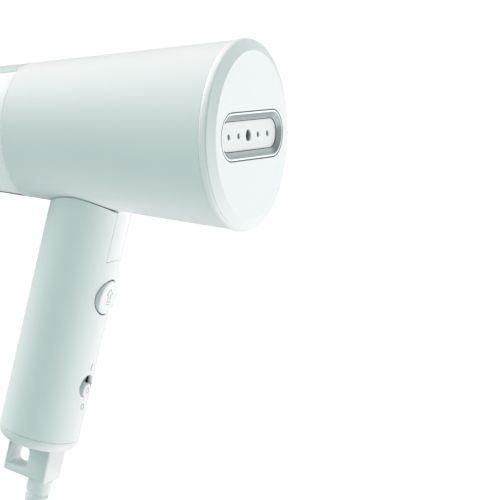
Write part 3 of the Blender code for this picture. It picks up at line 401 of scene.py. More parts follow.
SHELL = surface("shell_plastic", (0.86, 0.897, 0.89), 0.36, grain=0.35, depth=0.006, tone=0.01, spread=0.04)
SATIN = surface("satin_plastic", (0.85, 0.90, 0.89), 0.42, depth=0.008, tone=0.01, spread=0.04)
BRIGHT = surface("polished_trim", (0.36, 0.41, 0.42), 0.20, 1.0, grain=1.2, depth=0.002, tone=0.01,
                 spread=0.03)
SOFT_BRIGHT = surface("satin_trim", (0.98, 0.98, 0.98), 0.38, 0.15, grain=0.8, depth=0.003, tone=0.01,
                      spread=0.04)
PLATE = surface("steam_plate_metal", (0.86, 0.88, 0.88), 0.45, 0.05, grain=0.2, depth=0.004, tone=0.02,
                spread=0.05, stretch=(0.05, 1.0, 1.0))
TANK = surface("frosted_plastic_painted_glow", (0.93, 0.945, 0.94), 0.20, grain=0.8, depth=0.004, tone=0.01, spread=0.05,
               transmission=0.06)
GREY = surface("grey_plastic", (0.50, 0.55, 0.55), 0.42, tone=0.04)
# Lit and shaded copies of the latch plastic: painted light on the top latch, painted shade on the bottom latch.
LATCH_GREY_PAINTED_LIGHT = surface("latch_grey_painted_light", (0.68, 0.77, 0.75), 0.38, depth=0.008, tone=0.02)
LATCH_GREY_PAINTED_SHADE = surface("latch_grey_painted_shade", (0.13, 0.16, 0.16), 0.42, tone=0.04)
MARKING = surface("raised_marking", (0.58, 0.62, 0.62), 0.5, tone=0.02)
BLACK = surface("black_plastic", (0.025, 0.026, 0.03), 0.5, depth=0.012, tone=0.1)
RUBBER = surface("dark_rubber", (0.075, 0.08, 0.082), 0.7, grain=0.4, depth=0.02, tone=0.1)
SOFT_WHITE = surface("cord_jacket", (0.90, 0.93, 0.925), 0.5, grain=0.5, depth=0.015)
STEEL = surface("steel", (0.62, 0.63, 0.65), 0.26, 1.0, grain=0.25, depth=0.004, tone=0.04)
BY_SLOT = {
    "white_plastic": SHELL, "bright_trim": BRIGHT, "frosted_tank": TANK, "grey_plastic": GREY,
    "black_plastic": BLACK, "dark_rubber": RUBBER, "white_cord": SOFT_WHITE, "steel": STEEL,
    "silicone": surface("silicone", (0.74, 0.74, 0.70), 0.5, grain=0.5, transmission=0.1),
    "cast_aluminium": surface("cast_aluminium", (0.68, 0.69, 0.70), 0.5, 1.0, grain=0.6, depth=0.05,
                              tone=0.08),
    "copper_winding": surface("copper_winding", (0.72, 0.33, 0.15), 0.32, 1.0, depth=0.03, stretch=(1, 8, 1)),
    "brass": surface("brass", (0.78, 0.58, 0.26), 0.28, 1.0, depth=0.004),
    "wire_sleeve": surface("wire_sleeve", (0.45, 0.05, 0.04), 0.55, grain=0.5, depth=0.03, tone=0.08),
    "circuit_board": surface("board_green", (0.02, 0.20, 0.09), 0.4, grain=0.5, tone=0.1),
    "ceramic": surface("ceramic", (0.84, 0.82, 0.76), 0.45, grain=0.4, depth=0.02)}


def frost_with_painted_glow(material):
    """Let light wander inside the tank's wall, and give it a slight painted glow, standing for light that comes
    through it.
    """
    shader = material.node_tree.nodes["Principled BSDF"]
    shader.inputs["Subsurface Weight"].default_value = 0.4
    shader.inputs["Subsurface Radius"].default_value = (1.0, 1.0, 1.0)
    shader.inputs["Subsurface Scale"].default_value = 8 * MM
    # Painted glow: the tank gives out a little light of its own, for light that comes through its wall.
    shader.inputs["Emission Color"].default_value = (0.92, 1.0, 1.0, 1.0)
    shader.inputs["Emission Strength"].default_value = 0.09


def dress_inner_parts():
    """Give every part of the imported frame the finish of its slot."""
    for part in frame["record"]["subparts"]:
        mesh = frame["nodes"][part["node"]].data
        mesh.materials.clear()
        mesh.materials.append(BY_SLOT[part["material_slot"]])


# ---- mesh helpers

def down_z(down):
    """Height in the handle's frame of a place measured down from the barrel's axis."""
    return GRIP_DROP - down


def barrel_radius(y):
    """Outer radius of the tapered barrel, and of the tank that goes on from it."""
    return FRONT_RADIUS - BARREL_SLOPE * y


def place(name, bm, at, material, smooth=32.0):
    """Make a millimetre shape into an object, in metres, in one of the frames."""
    bmesh.ops.scale(bm, vec=(MM, MM, MM), verts=bm.verts)
    bmesh.ops.transform(bm, matrix=at, verts=bm.verts)
    bmesh.ops.recalc_face_normals(bm, faces=bm.faces)
    mesh = bpy.data.meshes.new(name)
    bm.to_mesh(mesh)
    bm.free()
    mesh.shade_smooth()
    mesh.set_sharp_from_angle(angle=radians(smooth))
    obj = bpy.data.objects.new(name, mesh)
    show(obj)
    mesh.materials.append(material)
    return obj


def settle(obj):
    """Apply an object's modifiers."""
    material = obj.data.materials[0]
    bpy.context.view_layer.update()
    mesh = bpy.data.meshes.new_from_object(obj.evaluated_get(bpy.context.evaluated_depsgraph_get()))
    obj.modifiers.clear()
    obj.data = mesh
    mesh.materials.clear()
    mesh.materials.append(material)
    mesh.polygons.foreach_set("material_index", [0] * len(mesh.polygons))
    mesh.update()


def carve(obj, cutters, operation="DIFFERENCE"):
    """Cut an object with closed shapes, or join it to them, and take out the slivers that this leaves."""
    for cutter in cutters:
        modifier = obj.modifiers.new("carve", "BOOLEAN")
        modifier.operation = operation
        modifier.solver = "MANIFOLD"
        modifier.object = cutter
    settle(obj)
    for cutter in cutters:
        bpy.data.objects.remove(cutter, do_unlink=True)
    bm = bmesh.new()
    bm.from_mesh(obj.data)
    bmesh.ops.dissolve_degenerate(bm, edges=bm.edges, dist=SLIVER * MM)
    bm.to_mesh(obj.data)
    bm.free()


def soften(obj, width, segments, angle):
    """Round the edges that a cut has left."""
    bm = bmesh.new()
    bm.from_mesh(obj.data)
    bmesh.ops.remove_doubles(bm, verts=bm.verts, dist=0.06 * MM)
    bmesh.ops.dissolve_degenerate(bm, edges=bm.edges, dist=0.02 * MM)
    bm.to_mesh(obj.data)
    bm.free()
    modifier = obj.modifiers.new("soften", "BEVEL")
    modifier.width = width * MM
    modifier.segments = segments
    modifier.limit_method = "ANGLE"
    modifier.angle_limit = radians(angle)
    modifier.use_clamp_overlap = False
    modifier.harden_normals = False
    settle(obj)
    obj.data.shade_smooth()
    obj.data.set_sharp_from_angle(angle=radians(40))


def true_normals(obj, shapes):
    """Shade the faces on a known round wall with that wall's own normals. Each shape tells, for a point,
    how far it lies from the wall and which way the wall faces there."""
    mesh = obj.data
    normals = [corner.vector.copy() for corner in mesh.corner_normals]
    for polygon in mesh.polygons:
        for shape in shapes:
            _, facing = shape(polygon.center)
            if facing is None or polygon.normal.dot(facing) < 0.995:
                continue
            found = [shape(mesh.vertices[index].co) for index in polygon.vertices]
            if all(abs(distance) < 0.03 * MM for distance, _ in found):
                for index, (_, normal) in zip(polygon.loop_indices, found):
                    normals[index] = normal
                break
    mesh.normals_split_custom_set(normals)


def barrel_wall(point):
    """The outside of the barrel and the tank."""
    local = point - HEAD_POINT
    across = sqrt(local.x ** 2 + local.z ** 2)
    if across < 1e-6:
        return 1.0, None
    distance = across - barrel_radius(local.y / MM) * MM
    return distance, Vector((local.x / across, BARREL_SLOPE, local.z / across)).normalized()


def handle_wall(point):
    """The outside of the handle."""
    local = HANDLE.inverted() @ point
    across = sqrt(local.x ** 2 + local.y ** 2)
    if across < 1e-6:
        return 1.0, None
    return across - HANDLE_RADIUS * MM, (HANDLE.to_3x3() @ Vector((local.x, local.y, 0.0))).normalized()


def grip_flat(forward):
    """A flat of the handle that faces forward, at one place across it."""
    facing = HANDLE.to_3x3() @ Vector((0.0, -1.0, 0.0))
    return lambda point: (forward * MM - (HANDLE.inverted() @ point).y, facing)


def cover_slope(point):
    """The cone between the flat face and the ring."""
    local = point - HEAD_POINT
    across = sqrt(local.x ** 2 + local.z ** 2)
    if across < 1e-6:
        return 1.0, None
    run, rise = SLOPE_OUTSIDE - SLOPE_INSIDE, SLOPE_BACK - SLOPE_FRONT
    facing = Vector((local.x / across * rise, -run, local.z / across * rise)).normalized()
    edge = Vector((local.x / across, 0.0, local.z / across)) * SLOPE_INSIDE * MM
    edge.y = SLOPE_FRONT * MM
    return (local - edge).dot(facing), facing


def flat_wall(y):
    """The flat of the head that faces forward at one place along the barrel."""
    facing = Vector((0.0, -1.0, 0.0))
    return lambda point: ((point - HEAD_POINT).y - y * MM, facing)


def finish_piece(obj, body, nodes=()):
    """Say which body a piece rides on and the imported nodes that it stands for."""
    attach(obj, body)
    if nodes:
        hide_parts(*nodes)
    return obj


def turned(outline, steps=ROUND, axis="Z", closed=False):
    """Spin an outline of (radius, along) points about an axis. A closed outline makes a ring."""
    bm = bmesh.new()
    flip = Matrix.Identity(4)
    if axis == "Y":
        flip = Matrix.Rotation(-pi / 2, 4, "X")
    if axis == "X":
        flip = Matrix.Rotation(pi / 2, 4, "Y")
    points = [bm.verts.new(flip @ Vector((radius, 0.0, along))) for radius, along in outline]
    edges = [bm.edges.new(pair) for pair in zip(points, points[1:])]
    if closed:
        edges.append(bm.edges.new((points[-1], points[0])))
    bmesh.ops.spin(bm, geom=points + edges, axis=flip @ Vector((0.0, 0.0, 1.0)), cent=(0, 0, 0),
                   angle=2 * pi, steps=steps, use_merge=True)
    bmesh.ops.remove_doubles(bm, verts=bm.verts, dist=1e-4)
    return bm


def shift(bm, offset):
    bmesh.ops.translate(bm, vec=Vector(offset), verts=bm.verts)
    return bm


def prism(outline, low, high, axis="X"):
    """Extrude a flat outline along an axis. For X the outline is (y, z), for Y (x, z), for Z (x, y)."""
    bm = bmesh.new()
    order = {"X": lambda a, b: (low, a, b), "Y": lambda a, b: (a, low, b), "Z": lambda a, b: (a, b, low)}
    face = bm.faces.new([bm.verts.new(order[axis](a, b)) for a, b in outline])
    push = {"X": (high - low, 0, 0), "Y": (0, high - low, 0), "Z": (0, 0, high - low)}[axis]
    grown = bmesh.ops.extrude_face_region(bm, geom=[face])
    moved = [item for item in grown["geom"] if isinstance(item, bmesh.types.BMVert)]
    bmesh.ops.translate(bm, vec=Vector(push), verts=moved)
    return bm


def arc(center, radius, start, end, steps):
    """Points on an arc, from one angle to another, in degrees."""
    angles = [radians(start + (end - start) * step / steps) for step in range(steps + 1)]
    return [(center[0] + radius * cos(angle), center[1] + radius * sin(angle)) for angle in angles]


def eased(outline, radius, steps=4, closed=False, keep=()):
    """Round the corners of an outline. Corners listed in keep stay as they are."""
    points = []
    last = len(outline) - 1
    for index, corner in enumerate(outline):
        if index in keep or (not closed and index in (0, last)):
            points.append(corner)
            continue
        here = Vector(corner)
        before = Vector(outline[index - 1]) - here
        after = Vector(outline[(index + 1) % len(outline)]) - here
        reach = min(radius, before.length * 0.45, after.length * 0.45)
        start, end = here + before.normalized() * reach, here + after.normalized() * reach
        for step in range(steps + 1):
            t = step / steps
            point = start * (1 - t) ** 2 + 2 * here * t * (1 - t) + end * t ** 2
            points.append((point.x, point.y))
    return points


def rounded_box(half_width, half_height, radius, steps=8):
    """Outline of a rectangle with round corners. A radius equal to a half size makes a stadium."""
    points = []
    for side, up, start in ((1, 1, 0), (-1, 1, 90), (-1, -1, 180), (1, -1, 270)):
        center = (side * (half_width - radius), up * (half_height - radius))
        for point in arc(center, radius, start, start + 90, steps):
            if not points or (Vector(point) - Vector(points[-1])).length > 1e-6:
                points.append(point)
    if (Vector(points[0]) - Vector(points[-1])).length < 1e-6:
        points.pop()
    return points


def stadium(half_width, half_height, steps=24):
    return rounded_box(half_width, half_height, half_height, steps)


def outlet_outline(inset):
    return stadium(OUTLET_HALF_WIDTH - inset, OUTLET_HALF_HEIGHT - inset)


def joined(bm, rings, closed_ring):
    """Join rings of equal point counts, each to the next. The last meets the first, or both are capped."""
    pairs = list(zip(rings, rings[1:]))
    if closed_ring:
        pairs.append((rings[-1], rings[0]))
    for first, second in pairs:
        for index in range(len(first)):
            after = (index + 1) % len(first)
            bm.faces.new((first[index], first[after], second[after], second[index]))
    if not closed_ring:
        bm.faces.new(rings[0])
        bm.faces.new(rings[-1])
    return bm


def lofted(sections, closed_ring=False):
    """Join outlines of equal point counts. Each section is (outline of (x, z), y)."""
    bm = bmesh.new()
    rings = [[bm.verts.new((x, y, z)) for x, z in outline] for outline, y in sections]
    return joined(bm, rings, closed_ring)


def cylinder(name, radius, low, high, axis, center, at, steps=64, material=SHELL):
    bm = turned([(0.0, low), (radius, low), (radius, high), (0.0, high)], steps, axis)
    return place(name, shift(bm, center), at, material)


def block(name, low, high, at, material=SHELL):
    """A box between two opposite corners."""
    (x0, y0, z0), (x1, y1, z1) = low, high
    return place(name, prism([(x0, y0), (x1, y0), (x1, y1), (x0, y1)], z0, z1, "Z"), at, material)


def stroke(points, radius, closed=False, sides=8):
    """A thin raised line through points in one frame, as a mesh."""
    bm = bmesh.new()
    path = [Vector(point) for point in points]
    count = len(path)
    rings = []
    for index, point in enumerate(path):
        before = path[index - 1] if closed or index else point
        after = path[(index + 1) % count] if closed or index < count - 1 else point
        along = (after - before).normalized()
        across = along.cross(Vector((0, 1, 0))).normalized()
        out = across.cross(along)
        ring = []
        for side in range(sides):
            angle = 2 * pi * side / sides
            ring.append(bm.verts.new(point + (across * cos(angle) + out * sin(angle)) * radius))
        rings.append(ring)
    return joined(bm, rings, closed)


def merged(shapes):
    """Several shapes as one mesh."""
    total = bmesh.new()
    for shape in shapes:
        mesh = bpy.data.meshes.new("part")
        shape.to_mesh(mesh)
        shape.free()
        total.from_mesh(mesh)
        bpy.data.meshes.remove(mesh)
    return total


# ---- cord

def racetrack(phase, radius):
    """A point (y, z) on the hank's loop, from the top of the rear run, going down. Phase runs from 0 to 1."""
    run, half = 0.272, 0.5
    if phase < run:
        return HANK_Y + radius, RUN_TOP + (RUN_BOTTOM - RUN_TOP) * phase / run
    if phase < half:
        angle = pi * (phase - run) / (half - run)
        return HANK_Y + radius * cos(angle), RUN_BOTTOM - radius * sin(angle)
    if phase < half + run:
        return HANK_Y - radius, RUN_BOTTOM + (RUN_TOP - RUN_BOTTOM) * (phase - half) / run
    angle = pi * (phase - half - run) / (half - run)
    return HANK_Y - radius * cos(angle), RUN_TOP + radius * sin(angle)


def hank_route():
    """Three layers, each with an outer and an inner turn. Each change of lane has its own stretch."""
    width = 2 * CORD_RADIUS
    lanes = [(0, OUTER_TURN), (0, INNER_TURN), (width, INNER_TURN), (width, OUTER_TURN),
             (2 * width, OUTER_TURN), (2 * width, INNER_TURN)]
    steps = 44
    change = 0.12
    route = []
    for turn, (x, radius) in enumerate(lanes):
        next_x, next_radius = lanes[min(turn + 1, len(lanes) - 1)]
        begins = 1.0 - change * (turn + 1)
        for step in range(steps):
            phase = step / steps
            share = min(1.0, max(0.0, (phase - begins) / change))
            share = share * share * (3 - 2 * share)
            y, z = racetrack(phase, radius + (next_radius - radius) * share)
            route.append(Vector((x + (next_x - x) * share, y, z)))
    return route


def smooth_route(points, per_span=6):
    """Points on a smooth curve through the given ones."""
    knots = [Vector(point) for point in points]
    knots = [2 * knots[0] - knots[1]] + knots + [2 * knots[-1] - knots[-2]]
    fine = []
    for before, start, end, after in zip(knots, knots[1:], knots[2:], knots[3:]):
        for step in range(per_span):
            t = step / per_span
            fine.append(0.5 * (2 * start + (end - before) * t
                        + (2 * before - 5 * start + 4 * end - after) * t ** 2
                        + (3 * start - before - 3 * end + after) * t ** 3))
    fine.append(knots[-2])
    return fine


def make_cord():
    """Down from the strain relief, round the hank and out to the plug. Returned with its start."""
    start = HANDLE @ Vector((0.0, -CORD_FORWARD, down_z(RELIEF_END + 0.3)))
    along = HANDLE.to_3x3() @ Vector((0, 0, -1))
    side = HANK_Y + OUTER_TURN
    lead = [start, start + along * 8, start + along * 16, (0, side - 0.2, -132.0), (0, side, -144.0),
            (0, side, RUN_TOP)]
    tail = [(4 * CORD_RADIUS, HANK_Y + INNER_TURN, RUN_TOP), (13.6, 19.9, -164.0), (16.4, 17.4, -174.0),
            (20.4, 12.8, -183.0), (24.8, 6.6, -191.5), (28.0, 2.2, -200.0), (PLUG_X, HANK_Y, -207.0),
            (PLUG_X, HANK_Y, PLUG_TOP + 0.3)]
    route = smooth_route(lead)[:-1] + hank_route() + smooth_route(tail)
    curve = bpy.data.curves.new("power_cord_jacket", "CURVE")
    curve.dimensions = "3D"
    curve.bevel_depth = CORD_RADIUS * MM
    curve.bevel_resolution = 5
    curve.use_fill_caps = True
    spline = curve.splines.new("POLY")
    spline.points.add(len(route) - 1)
    for target, point in zip(spline.points, route):
        target.co = (*(point * MM), 1.0)
    spline.use_smooth = True
    cord = bpy.data.objects.new("power_cord_jacket", curve)
    show(cord)
    curve.materials.append(SOFT_WHITE)
    finish_piece(cord, "handle", ["power_cord", "cord_hank", "cord_tail"])
    return cord, start * MM


def make_strain_relief():
    """A collar under the loop, then ribs with slots between them, tapering to the cord."""
    under = down_z(LOOP_END) - 0.3
    end = down_z(RELIEF_END)
    outline = [(0.0, down_z(158.0)), (3.9, down_z(158.0)), (3.9, under), (6.1, under), (6.1, under - 6.6),
               (5.9, under - 7.0)]
    ribs = 5
    rib_start = under - 7.0
    pitch = (rib_start - end - 2.0) / ribs
    for rib in range(ribs):
        z = rib_start - rib * pitch
        radius = 5.9 - 1.5 * rib / ribs
        outline += [(radius - 1.4, z), (radius - 1.4, z - 1.6), (radius, z - 1.6), (radius - 0.2, z - pitch)]
    outline += [(4.2, end), (0.0, end)]
    bm = turned(eased(outline, 0.45, 4, keep=(2,)), 64, "Z")
    relief = place("strain_relief_boot", shift(bm, (0, -CORD_FORWARD, 0)), HANDLE, SOFT_WHITE)
    return finish_piece(relief, "handle", ["strain_relief"])


def make_tie():
    """A strap round the whole hank, with rounded edges."""
    thickness = 6 * CORD_RADIUS
    outer = OUTER_TURN + CORD_RADIUS
    edges = ((0.3, 0.0), (0.3, 11.0), (0.9, 11.0), (1.4, 10.2), (1.5, 5.5), (1.4, 0.8), (0.9, 0.0))
    bm = lofted([(rounded_box(thickness / 2 + reach, outer + reach, reach + 2.2, 8), along)
                 for reach, along in edges], closed_ring=True)
    bmesh.ops.rotate(bm, cent=(0, 0, 0), matrix=Matrix.Rotation(-pi / 2, 3, "X"), verts=bm.verts)
    middle = (RUN_TOP + RUN_BOTTOM) / 2
    shift(bm, (thickness / 2 - CORD_RADIUS, HANK_Y, middle + 5.5))
    tie = place("cord_tie_strap", bm, WORLD, BLACK)
    return finish_piece(tie, "handle", ["cord_tie"])


def make_plug():
    """A moulded plug that widens from the cord, and its two round pins."""
    sections = [((4.2, 4.2, 4.0), 0.0), ((4.6, 4.6, 4.4), 1.2), ((4.9, 4.9, 4.7), 12.0),
                ((5.2, 5.2, 5.0), 18.0), ((7.0, 8.2, 6.6), 20.5), ((9.2, 12.4, 8.4), 24.5),
                ((10.8, 15.0, 9.6), 29.0), ((12.0, 16.8, 10.8), 34.5), ((12.3, 17.3, 11.0), 40.0),
                ((12.3, 17.3, 11.0), 53.0), ((12.1, 17.1, 10.8), 54.4), ((11.3, 16.3, 10.0), PLUG_LENGTH)]
    bm = lofted([(rounded_box(*sizes, 8), along) for sizes, along in sections])
    bmesh.ops.rotate(bm, cent=(0, 0, 0), matrix=Matrix.Rotation(-pi / 2, 3, "X"), verts=bm.verts)
    body = place("plug_casing", shift(bm, (PLUG_X, HANK_Y, PLUG_TOP)), WORLD, SOFT_WHITE, smooth=40)
    finish_piece(body, "handle", ["plug_body"])
    pieces = [body]
    for side, name, node in ((-1, "front_pin", "plug_pin_front"), (1, "rear_pin", "plug_pin_rear")):
        top = PLUG_TOP - PLUG_LENGTH - GAP
        shape = shift(turned([(0.0, top), (2.4, top), (2.4, top - 17.5)]
                             + arc((0.9, top - 17.5), 1.5, 0, -90, 6) + [(0.0, top - 19.0)], 32, "Z"),
                      (PLUG_X, HANK_Y + side * 9.5, 0))
        pin = place(name, shape, WORLD, STEEL)
        pieces.append(finish_piece(pin, "handle", [node]))
    return pieces


# ---- head

def side_profile(rear, radius, top):
    """Side view of the tongue, or of the slot it sits in: a round knuckle with a neck going up, as (y, z)."""
    center = (PIVOT.y, PIVOT.z)
    neck = -PIVOT.y - rear
    angle = atan2(sqrt(radius ** 2 - neck ** 2), neck) * 180 / pi
    knuckle = arc(center, radius, angle, -180, 48)
    return [(-rear, down_z(top))] + knuckle + [(center[0] - radius, down_z(top))]


def barrel_solid(extra, start, end):
    """A stretch of the barrel without its hollow, grown by a little."""
    front, rear = barrel_radius(start) + extra, barrel_radius(end) + extra
    bm = turned([(0.0, start), (front, start), (rear, end), (0.0, end)], ROUND, "Y")
    return place("barrel_solid", bm, HEAD, SHELL)


def wire_hole(name, radius, material):
    """A rod through the shell's wall, where the wires pass from the head to the handle."""
    low, high = down_z(44.0), down_z(24.0)
    return cylinder(name, radius, low, high, "Z", (0, WIRE_HOLE_Y, 0), HANDLE, material=material)


def tongue_solid():
    """What reaches down from the shell into the handle and turns on the hinge pin, round at the front."""
    profile = side_profile(TONGUE_REAR, KNUCKLE_RADIUS, TONGUE_TOP)
    tongue = place("tongue", prism(profile, -TONGUE_HALF_WIDTH, TONGUE_HALF_WIDTH), HANDLE, SHELL)
    radius, low, high = HANDLE_RADIUS - 0.02, down_z(80.0), down_z(20.0)
    carve(tongue, [cylinder("tongue_front", radius, low, high, "Z", (0, 0, 0), HANDLE, ROUND)], "INTERSECT")
    return tongue


def make_head_shell():
    start, end = SHELL_START, BARREL_LENGTH
    outline = [(0.0, start), (barrel_radius(start), start), (barrel_radius(end), end), (0.0, end)]
    shell = place("barrel_casing", turned(eased(outline, 0.15), ROUND, "Y"), HEAD, SHELL)
    carve(shell, [tongue_solid()], "UNION")
    neck = TANK_NECK_RADIUS + GAP
    cavity = turned([(0.0, start - 1), (barrel_radius(start - 1) - BARREL_WALL, start - 1),
                     (barrel_radius(end) - BARREL_WALL, end - REAR_LIP), (neck, end - REAR_LIP),
                     (neck, end + 1), (0.0, end + 1)], INSIDE_ROUND, "Y")
    carve(shell, [place("cavity", cavity, HEAD, SHELL), wire_hole("wire_hole", WIRE_HOLE_RADIUS, SHELL),
                  cylinder("bore", PIN_BORE_RADIUS, -10.0, 10.0, "X", PIVOT, HANDLE)])
    true_normals(shell, [barrel_wall, handle_wall])
    finish_piece(shell, "head", ["head_shell"])


def make_wire_grommet():
    """A rubber plug in the wire hole, 1 mm thick and a little below the shell's surface."""
    grommet = wire_hole("wire_grommet", WIRE_HOLE_RADIUS - 0.05, RUBBER)
    carve(grommet, [barrel_solid(-0.4, 20.0, 110.0)], "INTERSECT")
    carve(grommet, [barrel_solid(-1.4, 10.0, 115.0)])
    finish_piece(grommet, "head")


def make_trim_ring():
    """A ring round the front rim, as deep as it is wide, with a slightly bulging outside."""
    inner, outer = FRONT_RADIUS - RING_WIDTH, FRONT_RADIUS
    outline = [(inner, 0.0), (outer - 0.05, 0.0), (outer + 0.15, 0.7), (outer + 0.25, 1.75),
               (outer + 0.15, 2.8), (outer - 0.05, RING_WIDTH), (inner, RING_WIDTH)]
    bm = turned(eased(outline, 0.12, closed=True), ROUND, "Y", closed=True)
    ring = place("bright_ring", bm, HEAD, SOFT_BRIGHT, smooth=50)
    finish_piece(ring, "head", ["trim_ring"])


def make_front_cover():
    """The flat face with its sloped edge, a skirt inside the ring, and the opening for the outlet."""
    back, inside = FACE_Y + FACE_THICKNESS, SKIRT_RADIUS - FACE_THICKNESS
    outline = [(0.0, back), (inside, back), (inside, SKIRT_END), (SKIRT_RADIUS, SKIRT_END),
               (SKIRT_RADIUS, COVER_BACK), (FRONT_RADIUS - 0.1, COVER_BACK), (SLOPE_OUTSIDE, SLOPE_BACK),
               (SLOPE_INSIDE, SLOPE_FRONT), (FACE_RADIUS, FACE_Y), (0.0, FACE_Y)]
    cover = place("face_cover", turned(eased(outline, 0.5, 4), ROUND, "Y"), HEAD, SHELL, smooth=18)
    opening = prism(outlet_outline(OUTLET_INSET - GAP), -8.0, 4.0, "Y")
    seat = prism(outlet_outline(-GAP), -8.0, FACE_Y + OUTLET_RIM + GAP, "Y")
    carve(cover, [place("opening", opening, HEAD, SHELL), place("seat", seat, HEAD, SHELL)])
    true_normals(cover, [flat_wall(FACE_Y), cover_slope])
    finish_piece(cover, "head", ["front_cover"])


def make_outlet_frame():
    """A metal rim whose walls slope in and back to the plate."""
    front, rim, plate = FACE_Y + OUTLET_FRONT, FACE_Y + OUTLET_RIM, PLATE_Y - GAP
    sections = [(outlet_outline(0.15), rim), (outlet_outline(0.15), front + 0.2),
                (outlet_outline(0.22), front + 0.06), (outlet_outline(0.35), front),
                (outlet_outline(1.0), front), (outlet_outline(1.2), front + 0.06),
                (outlet_outline(1.35), front + 0.22),
                (stadium(PLATE_HALF_WIDTH, PLATE_HALF_HEIGHT), plate),
                (outlet_outline(OUTLET_INSET), plate), (outlet_outline(OUTLET_INSET), rim)]
    bezel = place("outlet_frame", lofted(sections, closed_ring=True), HEAD, BRIGHT, smooth=40)
    finish_piece(bezel, "head", ["steam_bezel"])


def make_gap_shade_band(name, outer, inner, low, high):
    """A thin band in the dark rubber finish between two outlines: painted shade for a gap."""
    shade_band = lofted([(outer, high), (outer, low), (inner, low), (inner, high)], closed_ring=True)
    finish_piece(place(name, shade_band, HEAD, RUBBER), "head")


def make_outlet_gap_shades():
    """Painted shade in the outlet's gaps: one dark band round the metal rim, in the cover, and one between the rim
    and the plate.
    """
    make_gap_shade_band("outlet_gap_shade_line", outlet_outline(-0.28), outlet_outline(0.13), FACE_Y + 0.08, FACE_Y + 0.85)
    outer = stadium(PLATE_HALF_WIDTH + 0.1, PLATE_HALF_HEIGHT + 0.1)
    inner = stadium(PLATE_HALF_WIDTH - 0.35, PLATE_HALF_HEIGHT - 0.35)
    make_gap_shade_band("plate_gap_shade_line", outer, inner, PLATE_Y - 0.28, PLATE_Y - 0.02)


def make_outlet_plate():
    """The plate with its five flared steam holes, the middle one larger."""
    outline = outlet_outline(OUTLET_INSET)
    plate = place("outlet_plate", prism(outline, PLATE_Y, PLATE_Y + PLATE_THICKNESS, "Y"), HEAD, PLATE)
    holes = []
    for number in range(-2, 3):
        radius = STEAM_HOLE_RADIUS if number else MIDDLE_HOLE_RADIUS
        profile = [(0.0, PLATE_Y - 0.2), (radius + HOLE_FLARE, PLATE_Y - 0.2), (radius, PLATE_Y + 0.25),
                   (radius, PLATE_Y + 3), (0.0, PLATE_Y + 3)]
        hole = shift(turned(profile, 48, "Y"), (number * STEAM_HOLE_PITCH, 0, 0))
        holes.append(place("hole", hole, HEAD, PLATE))
    carve(plate, holes)
    true_normals(plate, [flat_wall(PLATE_Y)])
    finish_piece(plate, "head", ["steam_plate"])


# ---- tank

def tank_end(inset):
    """The rounded edge of the tank's rear end, or of the hollow inside it, as (radius, along)."""
    end = TANK_END - inset
    fillet = TANK_END_FILLET - inset
    slope = atan2(BARREL_SLOPE, 1.0) * 180 / pi
    edge = barrel_radius(TANK_END - TANK_END_FILLET) - inset
    return arc((edge - fillet, end - fillet), fillet, slope, 90, 16)


def latch_patch(half_angle, start, end, top, bottom, middle, ease=0.0, steps=48):
    """A piece of the tapered wall: an angle to each side of the middle, between two places along the barrel.
    Top and bottom are its depths under the wall, and ease is the size of its sloped front and rear edges."""
    bm = bmesh.new()
    angles = [radians(middle - half_angle + 2 * half_angle * step / steps) for step in range(steps + 1)]
    rows = [(start, -top), (end, -top)]
    if ease:
        rows = [(start, -top - ease), (start + ease, -top), (end - ease, -top), (end, -top - ease)]
    rows += [(end, -bottom), (start, -bottom)]
    rings = []
    for y, out in rows:
        radius = barrel_radius(y) + out
        rings.append([bm.verts.new((radius * cos(a), y, radius * sin(a))) for a in angles])
    for first, second in zip(rings, rings[1:] + rings[:1]):
        for index in range(steps):
            bm.faces.new((first[index], first[index + 1], second[index + 1], second[index]))
    bm.faces.new([ring[0] for ring in rings])
    bm.faces.new([ring[-1] for ring in reversed(rings)])
    return bm


def make_tank():
    """A hollow tank with a neck that slides into the barrel, pockets for the latches and a filler hole."""
    neck = TANK_NECK_RADIUS
    start = BARREL_LENGTH + 0.08
    outline = [(0.0, TANK_NECK_START), (neck, TANK_NECK_START), (neck, start),
               (barrel_radius(start) - 0.15, start), (barrel_radius(start + 0.15), start + 0.15)]
    outline += tank_end(0.0) + [(0.0, TANK_END)]
    tank = place("water_tank", turned(outline, ROUND, "Y"), HEAD, TANK)
    bore = neck - TANK_WALL
    inside = [(0.0, TANK_NECK_START - 1), (bore, TANK_NECK_START - 1), (bore, TANK_START + 1)]
    inside += tank_end(TANK_WALL) + [(0.0, TANK_END - TANK_WALL)]
    cavity = place("cavity", turned(inside, INSIDE_ROUND, "Y"), HEAD, TANK)
    carve(cavity, [block("flats", (-40, 90, -TANK_FLAT), (40, 180, TANK_FLAT), HEAD)], "INTERSECT")
    cutters = [cavity]
    front, rear = LATCH_START - LATCH_GAP, LATCH_END + LATCH_GAP
    for middle, half in ((90, TOP_LATCH_HALF), (-90, BOTTOM_LATCH_HALF)):
        pocket = latch_patch(half + LATCH_SIDE_GAP, front, rear, -3.0, POCKET_DEPTH, middle)
        cutters.append(place("pocket", pocket, HEAD, TANK))
    cutters.append(cylinder("filler_hole", FILLER_HOLE_RADIUS, 160, 172, "Y", (0, 0, FILLER_Z), HEAD))
    carve(tank, cutters)
    true_normals(tank, [barrel_wall])
    finish_piece(tank, "tank", ["tank_shell"])


def make_latch(name, node, middle, half, material):
    """A curved button, flush with the tank, with grooves for the finger."""
    grooves = []
    for row in range(GROOVES):
        y = LATCH_START + GROOVE_START + row * GROOVE_PITCH
        radius = barrel_radius(y) - 0.05
        angles = [radians(middle - half * 0.45 + half * 0.9 * step / 16) for step in range(17)]
        line = stroke([(radius * cos(a), y, radius * sin(a)) for a in angles], GROOVE_RADIUS)
        grooves.append(place("groove", line, HEAD, material))
    patch = latch_patch(half, LATCH_START, LATCH_END, 0.0, LATCH_DEPTH, middle, 0.3)
    latch = place(name, patch, HEAD, material)
    carve(latch, grooves)
    true_normals(latch, [barrel_wall])
    finish_piece(latch, node, [node])


